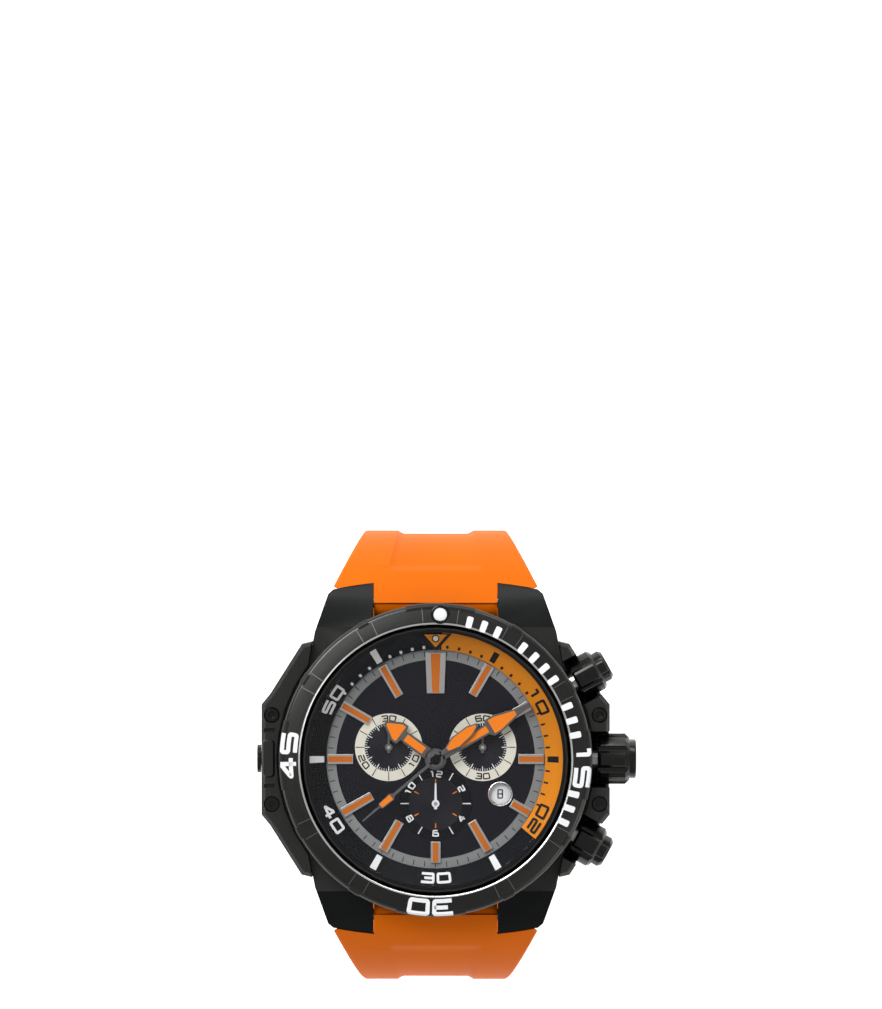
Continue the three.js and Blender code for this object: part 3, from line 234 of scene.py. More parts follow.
SMALL_BOSS = (0.27, 0.62, 8.76, 8.93)

# strap
BAR_OUT = 25.0
BAR_Z = 4.6
SHOULDER_DROP = 17.6
SHOULDER_OUT = 9.9
SHOULDER_R = SHOULDER_DROP / math.sin(2 * math.atan(SHOULDER_OUT / SHOULDER_DROP))
SHOULDER_TURN = math.asin(SHOULDER_DROP / SHOULDER_R)
SHOULDER_LENGTH = SHOULDER_R * SHOULDER_TURN
STRAP_WIDE = 33.0
STRAP_AT_REACH = 23.6
STRAP_NARROW = 21.6
NARROWS_OVER = 12.0  # run beyond the widest reach over which the strap gets to its even width
STRAP_ROOT_THICK = 5.2
STRAP_THICK = 3.2
STRAP_SETTLES = 18.0
BAND_ROOT = -1.4  # hidden start, beside the lug bar
BAND_START = 1.4
LUG_FACE = 28.12
LUG_PLAN = [(17.25, LUG_FACE - 1.72), (16.42, LUG_FACE - 1.0)]  # corners of a lug's tip
PAST_LUGS = 21.0
SWING_R = (3.3, 2.75)  # room for a lug's tip about the bar, on its inner and outer side
SWING_TAPER_END = 16.4
TONGUE_HALF = 9.85
EYE_R = 2.6
BAR_HOLE_R = 1.02
CHANNEL_WIDE = 16.4
CHANNEL_NARROW = 12.2
CHANNEL_DEEP = 0.5
CHANNEL_WALL = 0.9  # width of its soft side walls
CHANNEL_OPENS = (3.0, 4.4)  # beyond the band's start
CHANNEL_CLOSES = 1.4
STRAP_EDGE = 0.75  # rounding of the section's corners
STRAP_END_ROUND = 0.8
STRAP_STATIONS = 170
TAIL_DROP = 15.0
TAIL_CURL_R = 28.5
TAIL_FLAT = 25.0
TIP_LENGTH = 9.0
LAST_HOLE_AT = 16.0  # from the tip
CHANNEL_BEFORE_HOLES = 6.0
HOLE_COUNT = 7
HOLE_PITCH = 6.3
HOLE_R = 1.2
BUCKLE_CURL_R = 22.0
BUCKLE_CURL = 75.0
BUCKLE_FLAT = 16.5
KEEPER_SLIDING_AT = 10.6
BUCKLE_PIN_HOLE_R = 0.87
BUCKLE_PAST_PIN = 1.7
PRONG_SLOT = [(-2, -4.6), (2, -4.6), (2, 4), (-2, 4)]  # across, along

# camera and stage
CAMERA_AT = (0.86, 40.7)
CAMERA_ABOVE = 1170.0  # above the bezel
BEZEL_LEVEL = 13.0
PICTURE_TALL = 160.7  # millimetres at the bezel's level
SENSOR = 36.0
CLIP_END = 100  # metres
FLOOR_Z = -58.12
FLOOR_REACH = 4000
WORLD_STRENGTH = 0.42
# name, place in metres, size in metres, watts
LIGHTS = (
    ("key", (-0.75, 0.85, 1.25), (0.9, 0.9), 22),
    ("top", (0.15, 1.4, 0.75), (1.2, 0.5), 9),
    ("fill", (1.1, -0.6, 1.1), (0.9, 0.9), 5),
)

# meshes
SMOOTH = 32.0  # degrees above which an edge is sharp
NODE_SMOOTH = 26.0
FLAT = 0.8  # degrees below which faces of a CAD node are one
MERGE = 1e-7  # metres
NODE_MERGE = 2e-6
CARVED_MERGE = 1e-6
BEVEL_STEPS = 3

# fine grooves of the sub-dials and turns of the coil: radians for each millimetre
GROOVE_TURN = 31.4
WINDING_TURN = 62.8


# ---------------------------------------------------------------- settings
def colour_property(name, description, default):
    """A colour setting, in linear light."""
    return bpy.props.FloatVectorProperty(
        name=name, description=description, default=default, subtype="COLOR", size=3, min=0, max=1
    )


def length_property(name, description, default):
    """A length setting, given here in millimetres."""
    return bpy.props.FloatProperty(
        name=name, description=description, default=default * MM, unit="LENGTH", min=0, precision=5
    )


class WatchColours(bpy.types.PropertyGroup):
    """Colours that a maker would choose"""

    strap: colour_property("Strap rubber", "Moulded strap, keepers", (0.68, 0.13, 0.0006))
    plating: colour_property(
        "Black plating", "Case, bezel, crown and pushers", (0.032, 0.032, 0.031)
    )
    lume: colour_property("Orange", "Inlays of hands and hour marks", (0.9, 0.22, 0.005))
    sector: colour_property(
        "Orange sector", "First twenty minutes of the flange ring", (0.8, 0.26, 0.008)
    )
    printing: colour_property("White printing", "Numbers and dashes", (0.82, 0.83, 0.84))
    dial: colour_property("Dial lacquer", "Ground of the dial", (0.0045, 0.0042, 0.0085))
    cream: colour_property("Sub-dial rings", "Rings of the two side sub-dials", (0.72, 0.7, 0.6))
    track: colour_property("Minute track", "Grey ring round the dial", (0.24, 0.245, 0.245))


class WatchSizes(bpy.types.PropertyGroup):
    """Small sizes of the finish"""

    edge: length_property("Edge", "Width of the softened edges on plated metal", 0.16)
    fine_edge: length_property("Fine edge", "Width of the softened edges on dial parts", 0.05)
    rubber_edge: length_property("Rubber edge", "Width of the rounded edges on rubber", 0.3)
    print_height: length_property("Print height", "How far printing stands proud", 0.04)


def colours():
    return bpy.context.scene.watch_colours


def sizes():
    return bpy.context.scene.watch_sizes


# ---------------------------------------------------------------- shader recipes
class Link:
    """A shader socket that takes arithmetic."""

    def __init__(self, recipe, socket):
        self.recipe = recipe
        self.socket = socket

    def maths(self, operation, *values, clamp=False):
        settings = {"operation": operation, "use_clamp": clamp}
        return self.recipe.node("ShaderNodeMath", settings, dict(enumerate(values)))

    def __add__(self, other):
        return self.maths("ADD", self, other)

    def __radd__(self, other):
        return self.maths("ADD", other, self)

    def __sub__(self, other):
        return self.maths("SUBTRACT", self, other)

    def __mul__(self, other):
        return self.maths("MULTIPLY", self, other)

    def __pow__(self, other):
        return self.maths("POWER", self, other)

    def clamped(self):
        return self.maths("ADD", self, 0.0, clamp=True)

    def sine(self):
        return self.maths("SINE", self)


class Recipe:
    """One material and the nodes that make it."""

    def __init__(self, name):
        self.material = bpy.data.materials.new(name)
        self.material.use_nodes = True
        self.tree = self.material.node_tree
        self.shader = self.tree.nodes["Principled BSDF"]

    def feed(self, socket, value):
        if isinstance(value, Link):
            self.tree.links.new(value.socket, socket)
        else:
            socket.default_value = value

    def node(self, kind, settings=None, values=None, output=0):
        made = self.tree.nodes.new(kind)
        for key, value in (settings or {}).items():
            setattr(made, key, value)
        for key, value in (values or {}).items():
            self.feed(made.inputs[key], value)
        return Link(self, made.outputs[output])

    def place(self):
        """Where a point is, in millimetres."""
        where = self.node("ShaderNodeTexCoord", output="Object")
        return self.node(
            "ShaderNodeVectorMath", {"operation": "MULTIPLY"}, {0: where, 1: (1 / MM,) * 3}
        )

    def apart(self, vector):
        split = self.node("ShaderNodeSeparateXYZ", None, {0: vector})
        outputs = split.socket.node.outputs
        return [Link(self, outputs[k]) for k in range(3)]

    def joined(self, x, y, z):
        return self.node("ShaderNodeCombineXYZ", None, {0: x, 1: y, 2: z})

    def noise(self, vector, scale, detail=2.0):
        values = {"Vector": vector, "Scale": scale, "Detail": detail}
        return self.node("ShaderNodeTexNoise", None, values)

    def cells(self, vector, scale):
        return self.node("ShaderNodeTexVoronoi", None, {"Vector": vector, "Scale": scale})

    def blend(self, share, first, second):
        """A colour between two colours, by a share that is kept between 0 and 1."""
        values = {0: share, 6: rgba(first), 7: rgba(second)}
        return self.node("ShaderNodeMix", {"data_type": "RGBA"}, values, output=2)

    def brushed(self, way, across, along):
        """Noise drawn out along one way: round the middle, or along x, y or z."""
        x, y, z = self.apart(self.place())
        if way == "round":
            radius = (x * x + y * y) ** 0.5
            return self.noise(self.joined(radius * across, x * along, y * along), 1.0, 3.0)
        scales = {axis: along if axis == way else across for axis in "xyz"}
        return self.noise(self.joined(x * scales["x"], y * scales["y"], z * scales["z"]), 1.0, 3.0)

    def finish(self, colour, roughness, metallic=0.0, height=None, depth=0.01, constants=None):
        """Feeds the shader. Depth is the relief's height in millimetres."""
        self.feed(self.shader.inputs["Base Color"], rgba(colour))
        self.feed(self.shader.inputs["Roughness"], roughness)
        self.feed(self.shader.inputs["Metallic"], metallic)
        if height is not None:
            values = {"Strength": 0.6, "Distance": depth * MM, "Height": height}
            self.feed(self.shader.inputs["Normal"], self.node("ShaderNodeBump", None, values))
        for key, value in (constants or {}).items():
            self.feed(self.shader.inputs[key], value)
        return self.material


def rgba(colour):
    if isinstance(colour, Link):
        return colour
    return (*tuple(colour)[:3], 1.0)


def shade(colour, factor):
    return tuple(min(1.0, channel * factor) for channel in tuple(colour)[:3])


def plating(name, way, roughness, factor=1.0):
    """Black plated steel, with fine lines left by the tool under the plating."""
    recipe = Recipe(name)
    lines = recipe.brushed(way, 9.0, 0.25)
    cloud = recipe.noise(recipe.place(), 0.16, 2.0)
    tone = recipe.blend(
        (lines * 0.75 + cloud * 0.35).clamped(),
        shade(colours().plating, 0.72 * factor),
        shade(colours().plating, 1.35 * factor),
    )
    rough = roughness - 0.07 + lines * 0.1 + cloud * 0.05
    return recipe.finish(tone, rough, 0.9, lines, 0.012)


def bare_steel(name, way, level, roughness):
    """Steel that is turned or brushed along one way."""
    recipe = Recipe(name)
    lines = recipe.brushed(way, 12.0, 0.4)
    cloud = recipe.noise(recipe.place(), 0.3, 2.0)
    dark, light = shade((1, 0.99, 0.97), level * 0.86), shade((1, 0.99, 0.98), level * 1.08)
    tone = recipe.blend(lines, dark, light)
    return recipe.finish(tone, roughness - 0.06 + lines * 0.12 + cloud * 0.05, 1.0, lines, 0.008)


def rubber(name, colour, roughness=0.52):
    """Moulded rubber: matt skin with a fine grain and soft, slow changes of tone."""
    recipe = Recipe(name)
    where = recipe.place()
    grain = recipe.noise(where, 7.0, 3.0)
    pores = recipe.cells(where, 4.5)
    cloud = recipe.noise(where, 0.09, 2.0)
    share = (cloud * 0.8 + grain * 0.2).clamped()
    tone = recipe.blend(share, shade(colour, 0.9), shade(colour, 1.04))
    rough = roughness - 0.08 + grain * 0.12 + cloud * 0.06
    skin = grain * 0.6 + pores * 0.4
    return recipe.finish(tone, rough, 0.0, skin, 0.02, {"Specular IOR Level": 0.07})


def lacquer(name, colour, roughness, way="round", shine=0.3):
    """Opaque lacquer or printing ink, with a faint texture of its own."""
    recipe = Recipe(name)
    where = recipe.place()
    fine = recipe.noise(where, 14.0, 3.0)
    slow = recipe.brushed(way, 1.5, 0.12)
    share = (fine * 0.4 + slow * 0.6).clamped()
    tone = recipe.blend(share, shade(colour, 0.88), shade(colour, 1.1))
    matt = {"Specular IOR Level": shine}
    return recipe.finish(tone, roughness - 0.04 + fine * 0.09, 0.0, fine, 0.004, matt)


def grooved(name, colour, centre, roughness):
    """Lacquer over fine turned grooves about a sub-dial's own middle."""
    recipe = Recipe(name)
    x, y, _ = recipe.apart(recipe.place())
    across, up = x - centre[0], y - centre[1]
    radius = (across * across + up * up) ** 0.5
    groove = (radius * GROOVE_TURN).sine() * 0.5 + 0.5
    fine = recipe.noise(recipe.place(), 12.0, 2.0)
    share = (groove * 0.5 + fine * 0.3).clamped()
    tone = recipe.blend(share, shade(colour, 0.75), shade(colour, 1.5))
    return recipe.finish(tone, roughness + fine * 0.08, 0.2, groove, 0.02)


def moulded(name, colour, roughness):
    """Moulded plastic with a slightly uneven skin."""
    recipe = Recipe(name)
    where = recipe.place()
    skin = recipe.noise(where, 2.5, 3.0)
    tone = recipe.blend(skin, shade(colour, 0.92), shade(colour, 1.05))
    return recipe.finish(tone, roughness - 0.05 + skin * 0.1, 0.0, skin, 0.02)


def yellow_brass(name):
    """Brass plate with overlapping polished spots."""
    recipe = Recipe(name)
    where = recipe.place()
    spots = recipe.cells(where, 0.9)
    fine = recipe.noise(where, 9.0, 3.0)
    share = (spots * 0.7 + fine * 0.3).clamped()
    tone = recipe.blend(share, (0.5, 0.33, 0.12), (0.72, 0.52, 0.23))
    return recipe.finish(tone, 0.24 + spots * 0.14 + fine * 0.05, 1.0, spots, 0.01)


def copper_winding(name):
    """Enamelled copper wire wound closely about the x direction."""
    recipe = Recipe(name)
    x, y, z = recipe.apart(recipe.place())
    turns = (x * WINDING_TURN).sine() * 0.5 + 0.5
    fine = recipe.noise(recipe.joined(x * 10.0, y, z), 1.0, 2.0)
    share = (turns * 0.7 + fine * 0.3).clamped()
    tone = recipe.blend(share, (0.3, 0.09, 0.03), (0.78, 0.33, 0.15))
    return recipe.finish(tone, 0.22 + fine * 0.12, 1.0, turns, 0.04)


def clear_crystal(name):
    """Clear crystal: almost all see-through, with a clean surface."""
    recipe = Recipe(name)
    where = recipe.place()
    film = recipe.noise(where, 0.12, 2.0)
    recipe.material.surface_render_method = "BLENDED"
    clear = 0.035 + film * 0.02
    faint = {"Alpha": clear, "IOR": 1.76}
    tone = recipe.blend(film, (0.02, 0.024, 0.028), (0.03, 0.034, 0.038))
    return recipe.finish(tone, 0.03 + film * 0.02, 0.0, film, 0.002, faint)


def pale_ground(name):
    """The floor's plain paint."""
    recipe = Recipe(name)
    soft = recipe.noise(recipe.place(), 0.01, 2.0)
    tone = recipe.blend(soft, (0.93, 0.93, 0.93), (0.95, 0.95, 0.95))
    glow = {"Emission Color": (1, 1, 1, 1), "Emission Strength": 0.7}
    return recipe.finish(tone, 0.8 + soft * 0.1, constants=glow)


FINISHES = {
    "plating turned": lambda name: plating(name, "round", 0.36),
    "plating brushed": lambda name: plating(name, "y", 0.4, 1.1),
    "plating flank": lambda name: plating(name, "x", 0.38, 0.9),
    "plating polished": lambda name: plating(name, "round", 0.24, 1.6),
    "plating gloss": lambda name: plating(name, "y", 0.2, 0.85),
    "steel turned": lambda name: bare_steel(name, "round", 0.62, 0.3),
    "steel drawn": lambda name: bare_steel(name, "x", 0.56, 0.28),
    "steel bright": lambda name: bare_steel(name, "round", 0.85, 0.22),
    "mark silver": lambda name: bare_steel(name, "z", 0.66, 0.3),
    "strap rubber": lambda name: rubber(name, colours().strap),
    "seal rubber": lambda name: rubber(name, (0.012, 0.012, 0.013), 0.62),
    "dial black": lambda name: lacquer(name, colours().dial, 0.34),
    "lug gloss": lambda name: lacquer(name, (0.005, 0.0055, 0.0055), 0.26, "y", 0.13),
    "gloss black": lambda name: lacquer(name, (0.004, 0.004, 0.006), 0.14),
    "print black": lambda name: lacquer(name, (0.006, 0.006, 0.007), 0.5),
    "print white": lambda name: lacquer(name, colours().printing, 0.45),
    "print cream": lambda name: lacquer(name, colours().cream, 0.5),
    "print orange": lambda name: lacquer(name, colours().lume, 0.5),
    "track grey": lambda name: lacquer(name, colours().track, 0.4),
    "flange black": lambda name: lacquer(name, (0.004, 0.005, 0.007), 0.22),
    "flange orange": lambda name: lacquer(name, colours().sector, 0.42),
    "lume orange": lambda name: lacquer(name, colours().lume, 0.5),
    "mark orange": lambda name: lacquer(name, shade(colours().lume, 0.6), 0.5),
    "lume white": lambda name: moulded(name, (0.82, 0.84, 0.82), 0.4),
    "hand grey": lambda name: bare_steel(name, "y", 0.2, 0.34),
    "hand white": lambda name: lacquer(name, (0.74, 0.75, 0.77), 0.35),
    "date disc": lambda name: lacquer(name, (0.78, 0.79, 0.8), 0.5),
    "movement brass": yellow_brass,
    "winding copper": copper_winding,
    "holder plastic": lambda name: moulded(name, (0.62, 0.63, 0.64), 0.45),
    "crystal clear": clear_crystal,
    "floor paint": pale_ground,
}


def finish(name):
    """A material by name, made the first time it is asked for."""
    found = bpy.data.materials.get(name)
    return found if found else FINISHES[name](name)


# ---------------------------------------------------------------- meshes
class Piece:
    """Collects the surfaces of one piece, in millimetres."""

    def __init__(self):
        self.points = []
        self.faces = []
        self.zones = []

    def add(self, points, faces, zones):
        base = len(self.points)
        self.points.extend(points)
        self.faces.extend(tuple(base + k for k in face) for face in faces)
        self.zones.extend(zones)

    def skin(self, rings, zone=0, closed=False):
        """A surface through rings of points. Zone is a number or takes (ring, point)."""
        count = len(rings[0])
        faces, zones = [], []
        total = len(rings)
        for k in range(total if closed else total - 1):
            for i in range(count):
                a, b = k * count + i, k * count + (i + 1) % count
                step = ((k + 1) % total - k) * count
                faces.append((a, b, b + step, a + step))
                zones.append(zone(k, i) if callable(zone) else zone)
        if not closed:
            last = (total - 1) * count
            faces.append(tuple(range(count)))
            faces.append(tuple(last + i for i in reversed(range(count))))
            end = zone(0, 0) if callable(zone) else zone
            zones.extend([end, end])
        self.add([point for ring in rings for point in ring], faces, zones)

    def lathe(self, profile, zone=0, centre=(0, 0), steps=240, start=0.0, end=360.0):
        """A closed profile of (radius, height) turned clockwise about a centre."""
        full = end - start >= 360
        rings = []
        for k in range(steps if full else steps + 1):
            angle = math.radians(start + (end - start) * k / steps)
            sine, cosine = math.sin(angle), math.cos(angle)
            rings.append([(centre[0] + r * sine, centre[1] + r * cosine, z) for r, z in profile])
        self.skin(rings, zone, closed=full)

    def prism(self, outline, low, high, zone=0, spot=None):
        """An outline of (across, along) raised between two heights, put down at a spot."""
        spot = spot or flat_spot()
        rings = [[spot(u, v, z) for u, v in outline] for z in (low, high)]
        self.skin(rings, zone)

    def ribbon(self, path, width, low, high, zone, spot, closed=False):
        """A line of even width, with mitred corners."""
        path = divided(path, STROKE_STEP, closed)
        count = len(path)
        rings = []
        for k, (x, y) in enumerate(path):
            before = path[k - 1] if closed or k else None
            after = path[(k + 1) % count] if closed or k + 1 < count else None
            left = mitre(before, (x, y), after, width / 2)
            across = [(x + left[0] * t, y + left[1] * t) for t in (1.0, 0.5, 0.0, -0.5, -1.0)]
            ground = [spot(*across[-1], low), spot(*across[0], low)]
            rings.append(ground + [spot(u, v, high) for u, v in across])
        self.skin(rings, zone, closed=closed)

    def text(self, digits, letters, low, high, zone, spot):
        """Generic numbers in squared strokes, centred on the spot."""
        height, wide, weight, gap = letters
        step = wide + gap
        left = -step * (len(digits) - 1) / 2
        for k, digit in enumerate(digits):
            for closed, path in DIGITS[digit]:
                inner, tall = wide - weight, height - weight
                scaled = [(left + k * step + (x - 0.5) * inner, (y - 0.5) * tall) for x, y in path]
                rounded = round_corners(scaled, min(inner, tall) * CORNER_SHARE, closed)
                self.ribbon(rounded, weight, low, high, zone, spot, closed)

    def mesh(self, name):
        """A mesh of the surfaces, in metres, with each zone as a material number."""
        mesh = bpy.data.meshes.new(name)
        scaled = [(x * MM, y * MM, z * MM) for x, y, z in self.points]
        mesh.from_pydata(scaled, [], self.faces)
        for polygon, zone in zip(mesh.polygons, self.zones):
            polygon.material_index = zone
        tidy = bmesh.new()
        tidy.from_mesh(mesh)
        bmesh.ops.remove_doubles(tidy, verts=tidy.verts, dist=MERGE)
        bmesh.ops.recalc_face_normals(tidy, faces=tidy.faces)
        tidy.to_mesh(mesh)
        tidy.free()
        return mesh

    def make(self, name, body, finishes, slot, replaces=(), edge=0.0, smooth=SMOOTH):
        """The finished object, riding on its body."""
        return put_on(self.mesh(name), name, body, finishes, replaces, edge, smooth)


def put_on(mesh, name, body, finishes, replaces=(), edge=0.0, smooth=SMOOTH):
    """Makes an object of a mesh, softens its edges, gives its finishes and its body."""
    for wanted in finishes:
        mesh.materials.append(finish(wanted))
    mesh.shade_smooth()
    mesh.set_sharp_from_angle(angle=math.radians(smooth))
    made = bpy.data.objects.new(name, mesh)
    bpy.context.scene.collection.objects.link(made)
    if edge:
        soft = made.modifiers.new("softened edges", "BEVEL")
        soft.width = edge
        soft.segments = BEVEL_STEPS
        soft.limit_method = "ANGLE"
        soft.angle_limit = math.radians(smooth)
        soft.harden_normals = True
        soft.use_clamp_overlap = True
    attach(made, body)
    if replaces:
        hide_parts(*replaces)
    return made


def dressed(node, finishes, edge, zone=None):
    """A finely edged copy of a CAD node. Zone picks a finish from a face's middle and way."""
    source = frame["nodes"][node]
    body = body_of(source)[0]
    mesh = bpy.data.meshes.new(node + "_finished")
    tidy = bmesh.new()
    tidy.from_mesh(source.data)
    bmesh.ops.remove_doubles(tidy, verts=tidy.verts, dist=NODE_MERGE)
    bmesh.ops.dissolve_limit(
        tidy, angle_limit=math.radians(FLAT), verts=tidy.verts, edges=tidy.edges
    )
    bmesh.ops.recalc_face_normals(tidy, faces=tidy.faces)
    for face in tidy.faces:
        face.material_index = zone(face.calc_center_median() / MM, face.normal) if zone else 0
    tidy.to_mesh(mesh)
    tidy.free()
    return put_on(mesh, node + "_finished", body, finishes, (node,), edge, NODE_SMOOTH)


def painted(node, name):
    """Gives a CAD node that is already the right shape its finish."""
    for place in frame["nodes"][node].material_slots:
        place.material = finish(name)


def carved(made, cutter, operation="DIFFERENCE"):
    """Applies a boolean of two objects and throws the cutter away."""
    step = made.modifiers.new("cut", "BOOLEAN")
    step.operation = operation
    step.solver = "EXACT"
    step.object = cutter
    bpy.context.view_layer.update()
    evaluated = made.evaluated_get(bpy.context.evaluated_depsgraph_get())
    shaped = bpy.data.meshes.new_from_object(evaluated)
    made.modifiers.remove(step)
    made.data = shaped
    bpy.data.objects.remove(cutter)


def loose(piece, name):
    """A plain object of a piece's surfaces, for cutting."""
    made = bpy.data.objects.new(name, piece.mesh(name))
    bpy.context.scene.collection.objects.link(made)
    return made


# ---------------------------------------------------------------- lines, outlines and spots
def unit(a, b):
    length = math.hypot(b[0] - a[0], b[1] - a[1]) or 1.0
    return (b[0] - a[0]) / length, (b[1] - a[1]) / length


def mitre(before, here, after, half):
    """The offset to the left of a path's corner."""
    one = unit(before, here) if before else unit(here, after)
    two = unit(here, after) if after else one
    nx, ny = -(one[1] + two[1]), one[0] + two[0]
    square = nx * nx + ny * ny
    if square < 0.2:
        return -one[1] * half, one[0] * half
    return 2 * half * nx / square, 2 * half * ny / square


def round_corners(path, radius, closed, steps=4):
    """Replaces the corners of a path by short curves."""
    count = len(path)
    rounded = []
    for k, here in enumerate(path):
        if not closed and k in (0, count - 1):
            rounded.append(here)
            continue
        before, after = path[k - 1], path[(k + 1) % count]
        reach_in = min(radius, 0.48 * math.dist(before, here))
        reach_out = min(radius, 0.48 * math.dist(here, after))
        one, two = unit(here, before), unit(here, after)
        start = (here[0] + one[0] * reach_in, here[1] + one[1] * reach_in)
        end = (here[0] + two[0] * reach_out, here[1] + two[1] * reach_out)
        for i in range(steps + 1):
            t = i / steps
            shares = ((1 - t) ** 2, 2 * t * (1 - t), t * t)
            points = (start, here, end)
            rounded.append(tuple(
                sum(share * point[axis] for share, point in zip(shares, points)) for axis in (0, 1)
            ))
    return rounded


def divided(path, step, closed):
    """Adds points along a path, so that no stretch is longer than the step."""
    finer = []
    for k, here in enumerate(path):
        finer.append(here)
        if not closed and k + 1 == len(path):
            break
        after = path[(k + 1) % len(path)]
        parts = math.ceil(math.dist(here, after) / step)
        finer.extend(
            (here[0] + (after[0] - here[0]) * i / parts, here[1] + (after[1] - here[1]) * i / parts)
            for i in range(1, parts)
        )
    return finer


def softened(profile, radius=0.12):
    return round_corners(profile, radius, True, 3)


def mirrored(half):
    """A whole outline from its right half, given from bottom to top."""
    return list(half) + [(-x, y) for x, y in reversed(half)]


def oblong(wide, tall, radius=0.0):
    """A rectangle about its middle, with rounded corners."""
    x, y = wide / 2, tall / 2
    corners = [(-x, -y), (x, -y), (x, y), (-x, y)]
    return round_corners(corners, radius, True) if radius else corners


def square_ring(inner, outer, low, high):
    """The profile of a flat ring."""
    return [(inner, low), (outer, low), (outer, high), (inner, high)]


def circle(radius, steps=32):
    turn = 2 * math.pi / steps
    return [(radius * math.cos(k * turn), radius * math.sin(k * turn)) for k in range(steps)]


def flat_spot(centre=(0, 0), angle=0.0):
    """A spot turned clockwise about a centre: u to the right, v upwards at 12."""
    sine, cosine = math.sin(math.radians(angle)), math.cos(math.radians(angle))

    def spot(u, v, z):
        return centre[0] + u * cosine + v * sine, centre[1] - u * sine + v * cosine, z

    return spot


def ring_spot(angle, radius, outward=True, level=None, centre=(0, 0)):
    """A spot on a ring. A mark's top points outwards or inwards, and z is above the level."""
    way = 1 if outward else -1

    def spot(u, v, z):
        r = radius + way * v
        turn = math.radians(angle) + way * u / radius
        ground = level(r) if level else 0.0
        return centre[0] + r * math.sin(turn), centre[1] + r * math.cos(turn), ground + z

    return spot


def bezel_level(r):
    """Height of the bezel's top where the pads are."""
    for (r0, z0), (r1, z1) in zip(BEZEL_TOP, BEZEL_TOP[1:]):
        if r <= r1:
            return z0 + (z1 - z0) * (r - r0) / (r1 - r0)
    return BEZEL_TOP[-1][1]


def flange_level(r):
    """Height of the flange's slope."""
    return FLANGE_LOW + (FLANGE_HIGH - FLANGE_LOW) * (r - FLANGE_IN) / (FLANGE_OUT - FLANGE_IN)


# strokes of each figure in a unit square: whether it closes on itself, and its points
DIGITS = {
    "0": [(True, [(0, 0), (1, 0), (1, 1), (0, 1)])],
    "1": [(False, [(0.3, 0.98), (0.62, 1), (0.62, 0)])],
    "2": [(False, [(0, 1), (1, 1), (1, 0.52), (0, 0.48), (0, 0), (1, 0)])],
    "3": [(False, [(0, 1), (1, 1), (1, 0), (0, 0)]), (False, [(0.25, 0.5), (1, 0.5)])],
    "4": [
        (False, [(0.68, 1.02), (0.02, 0.36), (0.02, 0.3), (1.05, 0.3)]),
        (False, [(0.72, 1.1), (0.72, -0.1)]),
    ],
    "5": [(False, [(1, 1), (0, 1), (0, 0.53), (1, 0.53), (1, 0), (0, 0)])],
    "6": [(False, [(0.95, 1), (0, 1), (0, 0), (1, 0), (1, 0.54), (0, 0.54)])],
    "7": [(False, [(0, 1), (1, 1), (0.4, 0)])],
    "8": [(True, [(0, 0), (1, 0), (1, 1), (0, 1)]), (False, [(0, 0.5), (1, 0.5)])],
    "9": [(False, [(0.05, 0), (1, 0), (1, 1), (0, 1), (0, 0.46), (1, 0.46)])],
}


# ---------------------------------------------------------------- case
def lug_or_body(middle, way):
    """Faces that look up are brushed, slopes polished, flanks darker and lug tops a deep gloss."""
    if way.z > LUG_TOP_ASLANT and abs(middle.y) > LUGS_FROM:
        return 3
    if way.z > FACES_UP:
        return 0
    return 1 if way.z > FACES_ASLANT else 2


def build_case():
    edge = sizes().edge
    grades = ["plating brushed", "plating polished", "plating flank", "lug gloss"]
    dressed("mid_case", grades, edge, zone=lug_or_body)
    for node in ("left_side_guard", "crown_guard"):
        dressed(node, grades, edge, zone=lug_or_body)
    for k in range(1, 5):
        glossy(f"guard_screw_{k}", edge * 0.5)
    dressed("case_back", ["steel turned"], edge)
    for node in ("lug_bar_12", "lug_bar_6"):
        painted(node, "steel drawn")
    for node in ("case_back_gasket", "bezel_gasket", "crystal_gasket", "crown_gasket"):
        painted(node, "seal rubber")
    painted("bezel_click_spring", "steel turned")
    build_guard_seats()


def build_guard_seats():
    """Narrow dark ledges beside the lugs, under each guard's edge: painted shade that fills the
    gaps between the guards and the lugs, where the floor would show through.
    """
    shade_ledges = Piece()
    for sx in (-1, 1):
        for sy in (-1, 1):
            shade_ledges.skin([[(sx * x, sy * y, z) for x, y in GUARD_GAP_SHADE_OUTLINE] for z in GUARD_GAP_SHADE_LEVELS])
    shade_ledges.make("guard_gap_shade_ledges", "head", ["gloss black"], "black_steel")


# ---------------------------------------------------------------- bezel
def build_bezel():
    ring = Piece()
    profile = softened(BEZEL_RING, BEZEL_ROUND)
    lip_r, lip_low = BEZEL_LIP
    flank_r, flank_low, flank_high = BEZEL_FLANK

    def zone(_, point):
        r, z = profile[point]
        if r < lip_r and z > lip_low:
            return 2
        return 1 if r > flank_r and flank_low < z < flank_high else 0

    ring.lathe(profile, zone, steps=360)
    pad = softened(GRIP_PAD, GRIP_ROUND)
    for k in range(12):
        half = GRIP_SHORT if k % 3 else GRIP_LONG
        middle = k * 30 + BEZEL_LEFT_AT
        ring.lathe(pad, 0, steps=max(6, int(half * 2)), start=middle - half, end=middle + half)
    finishes = ["plating turned", "plating polished", "steel bright"]
    ring.make("bezel_ring", "bezel", finishes, "black_steel", ("bezel",), 0.05 * MM, 40)
    build_bezel_marks()
    build_bezel_pip()


